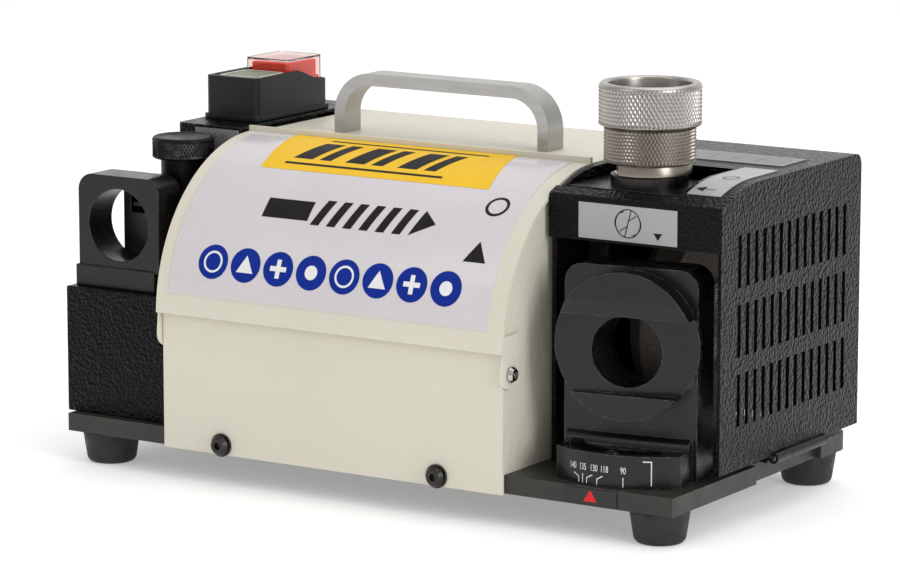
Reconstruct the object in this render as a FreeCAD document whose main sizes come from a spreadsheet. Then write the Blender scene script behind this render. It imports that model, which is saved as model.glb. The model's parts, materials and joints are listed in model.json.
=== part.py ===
import FreeCAD
import Part
import math
import os
from types import SimpleNamespace

import Sketcher
from FreeCAD import Placement, Rotation, Vector

# Bench drill bit sharpener: a motor under a hooded housing turns a grinding wheel on its right end.
# A swivelling holder in front sets the point angle, a sleeve on top takes the collet chuck for the
# web and relief cuts, and a gauge on the left sets how far the drill stands out of the chuck.
# Frame: X along the machine (right positive), Y to the back, Z up, origin on the floor under the middle.

DIMENSIONS = {
    # base
    "plate_length": 312.0, "plate_depth": 158.0, "plate_thick": 8.0, "plate_corner": 8.0,
    "foot_height": 14.5, "foot_top_radius": 13.0, "foot_toe_radius": 11.0, "foot_inset": 13.8,
    "recess_front": -7.0, "recess_back": 52.0, "recess_depth": 3.0,
    # housing, lid and front panel
    "housing_left": -101.0, "housing_right": 74.6, "sheet": 2.0, "lid_sheet": 1.5,
    "hood_centre_y": -10.0, "hood_centre_height": 72.5, "hood_radius": 74.0, "lid_gap": 0.3,
    "lid_edge_height": 74.8, "lid_back": -10.5, "lid_overhang": 1.7, "roof_height": 146.0,
    "roof_front": -9.5, "panel_front": -81.0, "panel_bottom": 14.0, "panel_top": 76.0,
    "panel_screw_height": 18.4, "panel_screw_left": -69.9, "panel_screw_right": 42.2,
    "lid_pivot_y": -77.0, "lid_pivot_height": 65.5, "ear_radius": 6.5, "ear_top": 82.0,
    "label_left": -96.5, "label_right": 68.5,
    # motor and wheel
    "spindle_y": 20.0, "spindle_height": 76.7, "motor_radius": 48.0, "motor_left": -62.0,
    "motor_right": 46.0, "bell_length": 12.0, "shaft_radius": 6.0, "shaft_left": -92.0,
    "wheel_left": 98.0, "wheel_right": 122.0, "wheel_radius": 46.0, "wheel_bevel": 11.0,
    # right cover
    "cover_left": 76.7, "cover_right": 160.0, "cover_front": -47.2, "cover_back": 78.0,
    "cover_sheet": 1.6, "cover_bottom": 26.1, "cover_roof": 146.5, "header_bottom": 120.0,
    "cover_crown_y": -12.0, "cover_crown_radius": 80.0, "cover_front_corner": 2.0,
    "cover_back_corner": 5.0,
    "opening_right": 136.0, "opening_front": -41.0, "opening_back": 7.8,
    "slot_width": 3.1, "slot_height": 22.4, "slot_pitch": 7.25, "slot_row_pitch": 29.5,
    "slot_first_y": -31.5, "slot_bottom": 44.5,
    "hinge_x": 160.0, "hinge_height": 24.8, "hinge_front": 0.5, "hinge_split": 14.4,
    "hinge_back": 46.3, "knuckle_radius": 2.4, "pin_radius": 1.1,
    # swivelling holder
    "pivot_x": 117.0, "pivot_y": -27.3, "swivel_rest_angle": 8.0, "holder_half_width": 30.0,
    "holder_front": 26.2, "holder_back": 7.7, "holder_top": 112.0, "holder_corner": 8.0,
    "disc_radius": 31.4, "disc_front": 35.4, "disc_height": 79.6, "holder_bore_radius": 15.3,
    "channel_bottom": 58.8, "channel_top": 91.8, "channel_bevel": 5.2, "channel_depth": 1.6,
    "channel_deep_end": 27.2,
    "flange_radius": 48.0, "flange_half_width": 28.0, "flange_bottom": 22.8, "flange_top": 36.3,
    "lock_radius": 40.5, "lock_x": 120.5, "lock_y": -67.7,
    "groove_half_width": 4.6, "slot_half_width": 2.8, "groove_depth": 5.0,
    # top station and chuck
    "chuck_x": 108.5, "chuck_y": -17.5, "table_top": 140.9, "table_thick": 6.0,
    "sleeve_radius": 16.5, "sleeve_bottom": 121.0, "sleeve_top": 145.7, "chuck_radius": 15.0,
    # gauge on the left
    "box_left": -160.0, "box_right": -103.2, "box_front": -74.0, "box_back": -19.6, "box_top": 79.5,
    "gauge_hole_x": -134.7, "gauge_hole_height": 108.2, "gauge_hole_radius": 16.3,
    "block_left": -157.0, "block_right": -112.5, "block_front": -68.0, "block_back": -51.0,
    "block_top": 130.3, "block_foot_top": 89.0, "gauge_housing_top": 121.5,
    "knob_x": -122.6, "knob_y": -35.0, "knob_radius": 14.0, "knob_top": 145.5, "knob_grip": 9.6,
    # control box and switch
    "control_left": -138.0, "control_right": -103.1, "control_front": -18.6, "control_top": 148.5,
    "switch_left": -135.6, "switch_right": -107.0, "switch_front": 0.0, "switch_back": 58.0,
    "switch_top": 168.3, "switch_low_top": 162.6,
    # handle
    "handle_left": -69.7, "handle_right": 42.7, "handle_top": 173.8, "handle_front": 8.0,
    "handle_depth": 13.0, "handle_bar": 5.5, "handle_bend": 19.0,
}

doc = FreeCAD.newDocument("drill_sharpener")
sheet = doc.addObject("Spreadsheet::Sheet", "sheet")


class Size:
    """A number together with the sheet expression that it comes from."""

    def __init__(self, value, text):
        self.value = value
        self.text = text

    def join(self, other, sign, value):
        return Size(value, f"({self.text} {sign} {as_size(other).text})")

    def __add__(self, other):
        return self.join(other, "+", self.value + as_size(other).value)

    def __sub__(self, other):
        return self.join(other, "-", self.value - as_size(other).value)

    def __mul__(self, other):
        return self.join(other, "*", self.value * as_size(other).value)

    def __truediv__(self, other):
        return self.join(other, "/", self.value / as_size(other).value)

    def __radd__(self, other):
        return as_size(other) + self

    def __rsub__(self, other):
        return as_size(other) - self

    def __rmul__(self, other):
        return as_size(other) * self

    def __neg__(self):
        return as_size(0) - self


def as_size(number):
    """Wrap a plain number so that it can be mixed with sheet sizes."""
    return number if isinstance(number, Size) else Size(float(number), f"({float(number):.6f})")


def fill_sheet():
    """Write every driving dimension to the sheet and return the sizes by name."""
    sizes = {}
    for row, (alias, value) in enumerate(DIMENSIONS.items(), start=1):
        sheet.set(f"A{row}", alias.replace("_", " "))
        sheet.set(f"B{row}", str(value))
        sheet.setAlias(f"B{row}", alias)
        sizes[alias] = Size(value, f"sheet.{alias}")
    doc.recompute()
    return SimpleNamespace(**sizes)


dim = fill_sheet()
PLATE_TOP = dim.foot_height + dim.plate_thick
HALF_LENGTH = dim.plate_length / 2
HALF_DEPTH = dim.plate_depth / 2
AXES = {
    "+Z": Rotation(),
    "-Z": Rotation(Vector(1, 0, 0), 180),
    "+X": Rotation(Vector(0, 1, 0), 90),
    "-X": Rotation(Vector(0, 1, 0), -90),
    "+Y": Rotation(Vector(1, 0, 0), -90),
    "-Y": Rotation(Vector(1, 0, 0), 90),
}
PARTS = []


# ---------------------------------------------------------------- helpers

def bind(thing, field, size):
    """Tie one property to the sheet."""
    thing.setExpression(field, as_size(size).text)


def place(thing, at, axis="+Z", turn=None):
    """Put an object at a point, its own Z along the given axis."""
    thing.Placement = Placement(Vector(*(as_size(c).value for c in at)), turn or AXES[axis])
    for letter, size in zip("xyz", at):
        bind(thing, f"Placement.Base.{letter}", size)


def publish(thing, node):
    """Make an object one of the parts that are handed over."""
    thing.Label = node
    PARTS.append(thing)
    return thing


def box(name, low, high):
    """A block between two corners."""
    block = doc.addObject("Part::Box", name)
    for field, start, end in zip(("Length", "Width", "Height"), low, high):
        bind(block, field, as_size(end) - start)
    place(block, low)
    return block


def rod(name, at, radius, length, axis="+Z"):
    """A cylinder that starts at a point and runs along an axis."""
    cylinder = doc.addObject("Part::Cylinder", name)
    bind(cylinder, "Radius", radius)
    bind(cylinder, "Height", length)
    place(cylinder, at, axis)
    return cylinder




def fuse(name, shapes):
    """Join touching solids into one piece."""
    joined = doc.addObject("Part::MultiFuse", name)
    joined.Shapes = shapes
    joined.Refine = True
    return joined


def gather(name, shapes):
    """Keep solids apart in one group."""
    group = doc.addObject("Part::Compound", name)
    group.Links = shapes
    return group


def cut(name, base, tools):
    """Take one or more tools away from a piece."""
    tool = tools if not isinstance(tools, list) else gather(f"{name}_tools", tools)
    result = doc.addObject("Part::Cut", name)
    result.Base = base
    result.Tool = tool
    result.Refine = True
    return result


def new_body(name, at=(0, 0, 0), axis="+Z", turn=None):
    """A PartDesign body at a place of its own."""
    body = doc.addObject("PartDesign::Body", name)
    place(body, at, axis, turn)
    return body


def new_sketch(body, plane, offset=0):
    """A sketch on one of the body's origin planes, moved along the plane's normal."""
    sketch = body.newObject("Sketcher::SketchObject", f"{body.Name}_sketch")
    origin = next(f for f in body.Origin.OriginFeatures if f.Role == f"{plane}_Plane")
    sketch.AttachmentSupport = (origin, [""])
    sketch.MapMode = "FlatFace"
    bind(sketch, "AttachmentOffset.Base.z", offset)
    return sketch


def pin_point(sketch, edge, end, point):
    """Hold one end of a sketch edge at a point given by two sizes."""
    for kind, size in zip(("DistanceX", "DistanceY"), point):
        size = as_size(size)
        index = sketch.addConstraint(Sketcher.Constraint(kind, -1, 1, edge, end, size.value))
        bind(sketch, f"Constraints[{index}]", size)


def arc_between(start, end, radius, side):
    """Circle arc from start to end; side +1 has the centre on the left of the way."""
    chord = end - start
    middle = (start + end) / 2
    left = Vector(-chord.y, chord.x, 0).normalize()
    centre = middle + left * side * math.sqrt(max(radius ** 2 - chord.Length ** 2 / 4, 0.0))
    first, last = (start, end) if side > 0 else (end, start)
    angles = [math.atan2(p.y - centre.y, p.x - centre.x) for p in (first, last)]
    return Part.ArcOfCircle(Part.Circle(centre, Vector(0, 0, 1), radius), *angles)


def outline(sketch, corners):
    """Closed outline; a corner is (x, y), or (x, y, radius, side) where an arc leaves it."""
    points = [Vector(as_size(c[0]).value, as_size(c[1]).value, 0) for c in corners]
    ends = []
    for index, corner in enumerate(corners):
        start = points[index]
        end = points[(index + 1) % len(points)]
        if len(corner) == 2:
            edge = sketch.addGeometry(Part.LineSegment(start, end), False)
            ends.append((edge, 1, 2))
            continue
        radius = as_size(corner[2])
        edge = sketch.addGeometry(arc_between(start, end, radius.value, corner[3]), False)
        ends.append((edge, 1, 2) if corner[3] > 0 else (edge, 2, 1))
        constraint = sketch.addConstraint(Sketcher.Constraint("Radius", edge, radius.value))
        bind(sketch, f"Constraints[{constraint}]", radius)
    for index, (edge, first, _) in enumerate(ends):
        before = ends[index - 1]
        sketch.addConstraint(Sketcher.Constraint("Coincident", before[0], before[2], edge, first))
        pin_point(sketch, edge, first, corners[index][:2])


def ring(sketch, at, radius):
    """A full circle in a sketch."""
    value = as_size(radius).value
    centre = Vector(as_size(at[0]).value, as_size(at[1]).value, 0)
    edge = sketch.addGeometry(Part.Circle(centre, Vector(0, 0, 1), value), False)
    constraint = sketch.addConstraint(Sketcher.Constraint("Radius", edge, value))
    bind(sketch, f"Constraints[{constraint}]", radius)
    pin_point(sketch, edge, 3, at)


def soft_rectangle(low, high, radius):
    """Corners of a rectangle with rounded corners, for outline()."""
    (x0, y0), (x1, y1) = low, high
    return [
        (x0 + radius, y0), (x1 - radius, y0, radius, 1),
        (x1, y0 + radius), (x1, y1 - radius, radius, 1),
        (x1 - radius, y1), (x0 + radius, y1, radius, 1),
        (x0, y1 - radius), (x0, y0 + radius, radius, 1),
    ]


def pad(body, sketch, length, reverse=False):
    """Add the sketch's area, along the plane's normal or against it."""
    feature = body.newObject("PartDesign::Pad", f"{body.Name}_pad")
    feature.Profile = sketch
    feature.Reversed = reverse
    bind(feature, "Length", length)
    sketch.Visibility = False
    return feature


def pocket(body, sketch, length, reverse=False):
    """Take the sketch's area away, against the plane's normal or along it."""
    doc.recompute()
    before = body.Shape.Volume
    feature = body.newObject("PartDesign::Pocket", f"{body.Name}_pocket")
    feature.Profile = sketch
    feature.Reversed = reverse
    bind(feature, "Length", length)
    doc.recompute()
    if body.Shape.Volume > before - 0.01:
        raise RuntimeError(f"{body.Name}: a pocket removed nothing")
    return feature


def plate(node, corners, plane, offset, thick, at=(0, 0, 0), axis="+Z", turn=None):
    """A piece made by padding one outline."""
    body = new_body(node, at, axis, turn)
    sketch = new_sketch(body, plane, offset)
    outline(sketch, corners)
    pad(body, sketch, thick)
    return body


def turned(name, profile, at, axis="+Z"):
    """A lathe part: a half profile of (radius, distance along the axis) turned about its own Z."""
    body = new_body(name, at, axis)
    sketch = new_sketch(body, "XZ")
    outline(sketch, profile)
    feature = body.newObject("PartDesign::Revolution", f"{name}_turning")
    feature.Profile = sketch
    feature.ReferenceAxis = (sketch, ["V_Axis"])
    feature.Angle = 360
    return body




def hexagon(across):
    """Corners of a hexagon that measures the given width across its flats."""
    radius = across / math.sqrt(3)
    return [(radius * math.cos(k * math.pi / 3), radius * math.sin(k * math.pi / 3)) for k in range(6)]


def socket_screw(name, at, axis, head_radius, head_height, shank_radius, length, across):
    """Round-headed screw with a hex socket; its head stands on the point, its shank goes back."""
    edge = head_height * 0.35
    profile = [
        (0, -length), (shank_radius, -length), (shank_radius, 0), (head_radius, 0),
        (head_radius, edge), (head_radius * 0.72, head_height), (0, head_height),
    ]
    body = turned(name, profile, at, axis)
    sketch = new_sketch(body, "XY", head_height)
    outline(sketch, hexagon(across))
    pocket(body, sketch, head_height * 0.7)
    return body


# ---------------------------------------------------------------- base plate and feet

def foot_places():
    """The four feet stand under the plate's corners."""
    across = HALF_LENGTH - dim.foot_inset
    deep = HALF_DEPTH - dim.foot_inset
    return [(across * sx, deep * sy) for sx in (-1, 1) for sy in (-1, 1)]


def base_plate():
    body = new_body("base_plate_body")
    sketch = new_sketch(body, "XY", dim.foot_height)
    back = HALF_DEPTH - dim.plate_corner
    side = HALF_LENGTH - dim.plate_corner
    inner = HALF_LENGTH - dim.recess_depth
    outline(sketch, [
        (-HALF_LENGTH, -HALF_DEPTH), (HALF_LENGTH, -HALF_DEPTH),
        (HALF_LENGTH, dim.recess_front), (inner, dim.recess_front),
        (inner, dim.recess_back), (HALF_LENGTH, dim.recess_back),
        (HALF_LENGTH, back, dim.plate_corner, 1), (side, HALF_DEPTH),
        (-side, HALF_DEPTH, dim.plate_corner, 1), (-HALF_LENGTH, back),
    ])
    pad(body, sketch, dim.plate_thick)
    holes = new_sketch(body, "XY", PLATE_TOP)
    for at in foot_places():
        ring(holes, at, 2.1)
    ring(holes, (dim.pivot_x, dim.pivot_y), 4.0)
    ring(holes, (dim.lock_x, dim.lock_y), 2.05)
    pocket(body, holes, dim.plate_thick)
    threads = [
        rod(f"panel_thread_{i}", (x, -HALF_DEPTH, dim.panel_screw_height), 2.1, 9, "+Y")
        for i, x in enumerate((dim.panel_screw_left, dim.panel_screw_right))
    ]
    publish(cut("base_plate_cut", body, threads), "base_plate")


def rubber_feet():
    feet = []
    screws = []
    top = dim.foot_height
    for index, (x, y) in enumerate(foot_places()):
        profile = [
            (2.6, 6), (2.6, top), (dim.foot_top_radius, top), (dim.foot_toe_radius, 1.5),
            (dim.foot_toe_radius - 1.5, 0), (5.6, 0), (5.6, 6),
        ]
        feet.append(turned(f"foot_{index}", profile, (x, y, 0)))
        screws.append(socket_screw(f"foot_screw_{index}", (x, y, 6), "-Z", 4.4, 2.8, 2.05, 16, 2.5))
    publish(gather("feet_group", feet), "rubber_feet")
    publish(gather("foot_screws_group", screws), "foot_screws")


# ---------------------------------------------------------------- housing, lid and front panel

def hood_height(radius, y):
    """Height of the hood's arc of the given radius at a depth y."""
    reach = as_size(y).value - dim.hood_centre_y.value
    value = math.sqrt(radius.value ** 2 - reach ** 2) + dim.hood_centre_height.value
    away = (as_size(y) - dim.hood_centre_y).text
    root = f"sqrt({radius.text} * {radius.text} - {away} * {away})"
    return Size(value, f"({root} + {dim.hood_centre_height.text})")


def hood_reach(radius, height):
    """How far in front of the hood's centre its arc passes a height."""
    rise = as_size(height).value - dim.hood_centre_height.value
    value = math.sqrt(radius.value ** 2 - rise ** 2)
    up = (as_size(height) - dim.hood_centre_height).text
    return Size(value, f"sqrt({radius.text} * {radius.text} - {up} * {up})")


def motor_housing():
    """Folded sheet housing: two cheeks, a flat roof and a back wall, open at the front."""
    cheek_radius = dim.hood_radius - dim.lid_sheet - dim.lid_gap
    front = -HALF_DEPTH - 0.2
    seat = dim.hood_centre_height + cheek_radius
    roof_front = dim.roof_front
    width = dim.housing_right - dim.housing_left
    body = new_body("housing_body")
    outside = new_sketch(body, "YZ", dim.housing_left)
    outline(outside, [
        (front, PLATE_TOP), (HALF_DEPTH, PLATE_TOP), (HALF_DEPTH, dim.roof_height - 3, 3, 1),
        (HALF_DEPTH - 3, dim.roof_height), (roof_front, dim.roof_height), (roof_front, seat),
        (dim.hood_centre_y, seat, cheek_radius, 1), (front, hood_height(cheek_radius, front)),
    ])
    pad(body, outside, width)
    inside = new_sketch(body, "YZ", dim.housing_left + dim.sheet)
    inner_roof = dim.roof_height - dim.sheet
    outline(inside, [
        (front - 20, PLATE_TOP - 5), (HALF_DEPTH - dim.sheet, PLATE_TOP - 5),
        (HALF_DEPTH - dim.sheet, inner_roof), (roof_front + dim.sheet, inner_roof),
        (roof_front + dim.sheet, seat - 4), (roof_front - 2, seat - 4),
        (roof_front - 2, dim.roof_height + 20), (front - 20, dim.roof_height + 20),
    ])
    pocket(body, inside, width - dim.sheet * 2, reverse=True)
    louvres = [
        box(f"louvre_{i}", (-70 + 12 * i, HALF_DEPTH - 4, 96), (-65 + 12 * i, HALF_DEPTH + 4, 126))
        for i in range(11)
    ]
    shaft_hole = rod("housing_shaft_hole", (dim.housing_right - 5, dim.spindle_y, dim.spindle_height),
                     17, 10, "+X")
    pivot_holes = rod("housing_pivot_hole", (dim.housing_left - 5, dim.lid_pivot_y, dim.lid_pivot_height),
                      1.6, width + 10, "+X")
    handle_holes = [
        rod(f"housing_handle_hole_{i}", (x, dim.handle_front + dim.handle_depth / 2, dim.roof_height - 8),
            2.2, 12)
        for i, x in enumerate(handle_legs())
    ]
    tools = louvres + [shaft_hole, pivot_holes] + handle_holes
    publish(cut("housing_cut", body, tools), "motor_housing")


def front_panel():
    """Lower front panel with a folded ledge along its top."""
    back = -HALF_DEPTH - 0.3
    body = plate("front_panel_body", [
        (dim.panel_front, dim.panel_bottom), (back, dim.panel_bottom),
        (back, dim.panel_top - dim.lid_sheet), (back + 2.5, dim.panel_top - dim.lid_sheet),
        (back + 2.5, dim.panel_top), (dim.panel_front + 1.5, dim.panel_top, 1.5, 1),
        (dim.panel_front, dim.panel_top - 1.5),
    ], "YZ", dim.housing_left - 0.2, dim.housing_right - dim.housing_left + 0.4)
    tools = [
        rod(f"panel_hole_{i}", (x, dim.panel_front - 2, dim.panel_screw_height), 2.3, 6, "+Y")
        for i, x in enumerate((dim.panel_screw_left, dim.panel_screw_right))
    ]
    for i, (start, end) in enumerate(((dim.housing_left - 5, dim.housing_left + dim.sheet + 0.4),
                                      (dim.housing_right - dim.sheet - 0.4, dim.housing_right + 5))):
        tools.append(box(f"ledge_notch_{i}", (start, back, dim.panel_bottom - 2), (end, back + 10, 90)))
    publish(cut("front_panel_cut", body, tools), "front_panel")


def panel_fasteners():
    screws = []
    washers = []
    seat = dim.panel_front - 1.0
    for index, x in enumerate((dim.panel_screw_left, dim.panel_screw_right)):
        at = (x, seat, dim.panel_screw_height)
        screws.append(socket_screw(f"panel_screw_{index}", at, "-Y", 4.5, 2.8, 2.0, 11, 3.0))
        disc = rod(f"washer_disc_{index}", (x, dim.panel_front, dim.panel_screw_height), 5.2, 1, "-Y")
        hole = rod(f"washer_hole_{index}", (x, dim.panel_front + 1, dim.panel_screw_height), 2.2, 4, "-Y")
        washers.append(cut(f"washer_{index}", disc, hole))
    publish(gather("panel_screws_group", screws), "panel_screws")
    publish(gather("panel_washers_group", washers), "panel_washers")


def curved_lid():
    """Rolled lid over the front of the housing, with a grip lip at the back and two pivot ears."""
    outer = dim.hood_radius
    inner = outer - dim.lid_sheet
    left = dim.housing_left - dim.lid_overhang
    right = dim.housing_right + dim.lid_overhang
    lip_front = dim.lid_back - dim.lid_sheet
    lip_top = dim.roof_height + 3
    edge_front = dim.hood_centre_y - hood_reach(outer, dim.lid_edge_height)
    edge_back = dim.hood_centre_y - hood_reach(inner, dim.lid_edge_height)
    sheet_body = plate("lid_sheet_body", [
        (edge_front, dim.lid_edge_height), (edge_back, dim.lid_edge_height, inner, -1),
        (dim.lid_back, hood_height(inner, dim.lid_back)), (dim.lid_back, lip_top),
        (lip_front, lip_top), (lip_front, hood_height(outer, lip_front), outer, 1),
    ], "YZ", left, right - left)
    ear_front = dim.lid_pivot_y - dim.ear_radius
    ear_back = dim.lid_pivot_y + dim.ear_radius
    ear_bottom = dim.lid_pivot_height - dim.ear_radius
    ear_outline = [
        (ear_front, dim.lid_pivot_height, dim.ear_radius, 1),
        (dim.lid_pivot_y, ear_bottom, dim.ear_radius, 1),
        (ear_back, dim.lid_pivot_height), (ear_back, dim.ear_top), (ear_front + 1.6, dim.ear_top),
    ]
    pieces = [sheet_body]
    holes = []
    for name, start in (("left", left), ("right", dim.housing_right + 0.5)):
        pieces.append(plate(f"lid_ear_{name}", ear_outline, "YZ", start, dim.lid_overhang - 0.5))
        hole_at = (start - 2, dim.lid_pivot_y, dim.lid_pivot_height)
        holes.append(rod(f"lid_ear_hole_{name}", hole_at, 2.05, 6, "+X"))
    publish(cut("lid_cut", fuse("lid_fused", pieces), holes), "curved_lid")


def lid_label():
    """Plain plate glued on the lid's curved face."""
    inner = dim.hood_radius
    outer = inner + 0.3
    low = dim.hood_centre_height + 11.6
    high_y = -14.0
    publish(plate("lid_label_body", [
        (dim.hood_centre_y - hood_reach(outer, low), low),
        (dim.hood_centre_y - hood_reach(inner, low), low, inner, -1),
        (high_y, hood_height(inner, high_y)), (high_y, hood_height(outer, high_y), outer, 1),
    ], "YZ", dim.label_left, dim.label_right - dim.label_left), "lid_label")


def lid_pivot_screws():
    """Shoulder screws that carry the lid's ears on the cheeks."""
    screws = []
    for name, x, axis in (("left", dim.housing_left - dim.lid_overhang - 0.3, "-X"),
                          ("right", dim.housing_right + dim.lid_overhang + 0.3, "+X")):
        shoulder = dim.lid_overhang + 0.3
        body = turned(f"lid_screw_{name}", [
            (0, -9), (1.55, -9), (1.55, -shoulder), (2.0, -shoulder), (2.0, 0), (3.5, 0),
            (3.5, 0.8), (2.5, 2.2), (0, 2.2),
        ], (x, dim.lid_pivot_y, dim.lid_pivot_height), axis)
        sketch = new_sketch(body, "XY", 2.2)
        outline(sketch, hexagon(2.5))
        pocket(body, sketch, 1.5)
        screws.append(body)
    publish(gather("lid_screws_group", screws), "lid_pivot_screws")


# ---------------------------------------------------------------- collets stored under the lid

RACK_PITCH = 27.0
RACK_ROWS = ((-65.0, 6), (-42.5, 5))
RACK_TOP = 76.0
RACK_HOLE = 9.2


def rack_places():
    """Two rows of collet seats across the rack."""
    middle = (dim.housing_left.value + dim.housing_right.value) / 2
    return [
        (middle + (i - (count - 1) / 2) * RACK_PITCH, y)
        for y, count in RACK_ROWS for i in range(count)
    ]


def collet_rack():
    left = dim.housing_left + dim.sheet + 0.2
    right = dim.housing_right - dim.sheet - 0.2
    front, back = -76.4, -31.2
    shelf = box("rack_shelf", (left, front, RACK_TOP - 2), (right, back, RACK_TOP))
    flanges = [
        box("rack_flange_left", (left, front, RACK_TOP - 14), (left + 2, back, RACK_TOP - 1)),
        box("rack_flange_right", (right - 2, front, RACK_TOP - 14), (right, back, RACK_TOP - 1)),
    ]
    holes = [
        rod(f"rack_hole_{i}", (x, y, RACK_TOP - 5), RACK_HOLE, 10)
        for i, (x, y) in enumerate(rack_places())
    ]
    pivot_clearance = rod("rack_pivot_clearance", (dim.housing_left, dim.lid_pivot_y, dim.lid_pivot_height),
                          3.2, 200, "+X")
    tools = holes + [pivot_clearance]
    publish(cut("rack_cut", fuse("rack_fused", [shelf] + flanges), tools), "collet_rack")


def spare_collets():
    """Tapered spring collets, one for each drill size, standing in the rack."""
    collets = []
    slope = math.tan(math.radians(8))
    foot_radius = 6.6
    seat_height = (RACK_HOLE - 0.01 - foot_radius) / slope
    shoulder = (10.2 - foot_radius) / slope
    for index, (x, y) in enumerate(rack_places()):
        bore = 1.5 + 0.45 * index
        profile = [
            (bore, 0), (foot_radius, 0), (10.2, shoulder), (10.2, shoulder + 1.6),
            (8.9, shoulder + 1.6), (8.9, shoulder + 3.2), (9.9, shoulder + 3.2),
            (8.6, shoulder + 5.6), (bore, shoulder + 5.6),
        ]
        collets.append(turned(f"collet_{index}", profile, (x, y, RACK_TOP - seat_height)))
    publish(gather("collets_group", collets), "spare_collets")


# ---------------------------------------------------------------- handle

def handle_legs():
    """Middle of each handle leg along X."""
    half_bar = dim.handle_bar / 2
    return (dim.handle_left + half_bar, dim.handle_right - half_bar)


def carry_handle():
    """Flat bar bent to a bow."""
    inner_bend = dim.handle_bend - dim.handle_bar
    left, right, top = dim.handle_left, dim.handle_right, dim.handle_top
    inner_left = left + dim.handle_bar
    inner_right = right - dim.handle_bar
    inner_top = top - dim.handle_bar
    base = dim.roof_height
    body = plate("handle_body", [
        (left, base), (inner_left, base), (inner_left, inner_top - inner_bend, inner_bend, -1),
        (inner_left + inner_bend, inner_top), (inner_right - inner_bend, inner_top, inner_bend, -1),
        (inner_right, inner_top - inner_bend), (inner_right, base), (right, base),
        (right, top - dim.handle_bend, dim.handle_bend, 1), (right - dim.handle_bend, top),
        (left + dim.handle_bend, top, dim.handle_bend, 1), (left, top - dim.handle_bend),
    ], "XZ", -dim.handle_front - dim.handle_depth, dim.handle_depth)
    holes = [
        rod(f"handle_thread_{i}", (x, dim.handle_front + dim.handle_depth / 2, base - 2), 1.75, 12)
        for i, x in enumerate(handle_legs())
    ]
    publish(cut("handle_cut", body, holes), "carry_handle")
    screws = [
        socket_screw(f"handle_screw_{i}",
                     (x, dim.handle_front + dim.handle_depth / 2, dim.roof_height - dim.sheet),
                     "-Z", 4.0, 2.4, 1.7, 11, 2.5)
        for i, x in enumerate(handle_legs())
    ]
    publish(gather("handle_screws_group", screws), "handle_screws")


# ---------------------------------------------------------------- motor and grinding wheel

def spindle_at(x):
    """A point on the motor's axis."""
    return (x, dim.spindle_y, dim.spindle_height)


def motor_casing():
    length = dim.motor_right - dim.motor_left
    shell = rod("casing_shell", spindle_at(dim.motor_left), dim.motor_radius, length, "+X")
    hollow = rod("casing_hollow", spindle_at(dim.motor_left - 1), dim.motor_radius - 3, length + 2, "+X")
    brush_holes = [
        rod("brush_hole_back", (dim.motor_left + 14, dim.spindle_y + dim.motor_radius - 8,
                                dim.spindle_height), 6.1, 16, "+Y"),
        rod("brush_hole_front", (dim.motor_left + 14, dim.spindle_y - dim.motor_radius + 8,
                                 dim.spindle_height), 6.1, 16, "-Y"),
    ]
    publish(cut("casing_cut", shell, [hollow] + brush_holes), "motor_casing")


def motor_stator():
    length = 62.0
    start = dim.motor_left + 28
    radius = dim.motor_radius - 3.0
    ring_body = rod("stator_ring", spindle_at(start), radius, length, "+X")
    bore = rod("stator_bore", spindle_at(start - 1), 25, length + 2, "+X")
    publish(cut("stator_cut", ring_body, bore), "motor_stator")


def brush_caps():
    caps = []
    for name, side, axis in (("back", 1, "+Y"), ("front", -1, "-Y")):
        x = dim.motor_left + 14
        y = dim.spindle_y + (dim.motor_radius - 7) * side
        stem = rod(f"brush_stem_{name}", (x, y, dim.spindle_height), 6.0, 7, axis)
        cap_y = dim.spindle_y + (dim.motor_radius + 0) * side
        cap = rod(f"brush_cap_{name}", (x, cap_y, dim.spindle_height), 7.0, 2, axis)
        caps.append(fuse(f"brush_{name}", [stem, cap]))
    publish(gather("brush_group", caps), "brush_caps")


def end_bell(name, x, axis):
    """Motor end cap with a bearing seat; the seat opens inwards."""
    profile = [
        (13.0, 0), (dim.motor_radius, 0), (dim.motor_radius, 4), (34, dim.bell_length),
        (7.0, dim.bell_length), (7.0, 9.0), (13.0, 9.0),
    ]
    publish(turned(name, profile, spindle_at(x), axis), name.replace("_body", ""))


def motor_bearings():
    """Deep groove ball bearings in the two end caps."""
    bearings = []
    for name, x, axis in (("left", dim.motor_left - 1, "-X"), ("right", dim.motor_right + 1, "+X")):
        profile = [
            (dim.shaft_radius + 0.02, 0), (8.4, 0), (8.4, 1.0), (11.2, 1.0), (11.2, 0), (13.0, 0),
            (13.0, 8), (11.2, 8), (11.2, 7.0), (8.4, 7.0), (8.4, 8), (dim.shaft_radius + 0.02, 8),
        ]
        bearings.append(turned(f"bearing_{name}", profile, spindle_at(x), axis))
    publish(gather("bearings_group", bearings), "motor_bearings")


def motor_rotor():
    """Shaft with the wound rotor, the commutator and the seat of the grinding wheel."""
    left = dim.shaft_left
    profile = [
        (0, 0), (5.0, 0), (5.0, 10), (dim.shaft_radius, 10),
        (dim.shaft_radius, dim.motor_left + 4 - left), (15, dim.motor_left + 4 - left),
        (15, dim.motor_left + 24 - left), (8, dim.motor_left + 24 - left),
        (8, dim.motor_left + 30 - left), (24.2, dim.motor_left + 30 - left),
        (24.2, dim.motor_right - 10 - left), (8, dim.motor_right - 10 - left),
        (8, dim.motor_right - 1 - left), (dim.shaft_radius, dim.motor_right - 1 - left),
        (dim.shaft_radius, dim.wheel_left - 6 - left), (5.0, dim.wheel_left - 6 - left),
        (5.0, dim.wheel_right + 14 - left), (0, dim.wheel_right + 14 - left),
    ]
    publish(turned("rotor_body", profile, spindle_at(left), "+X"), "motor_rotor")


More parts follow.
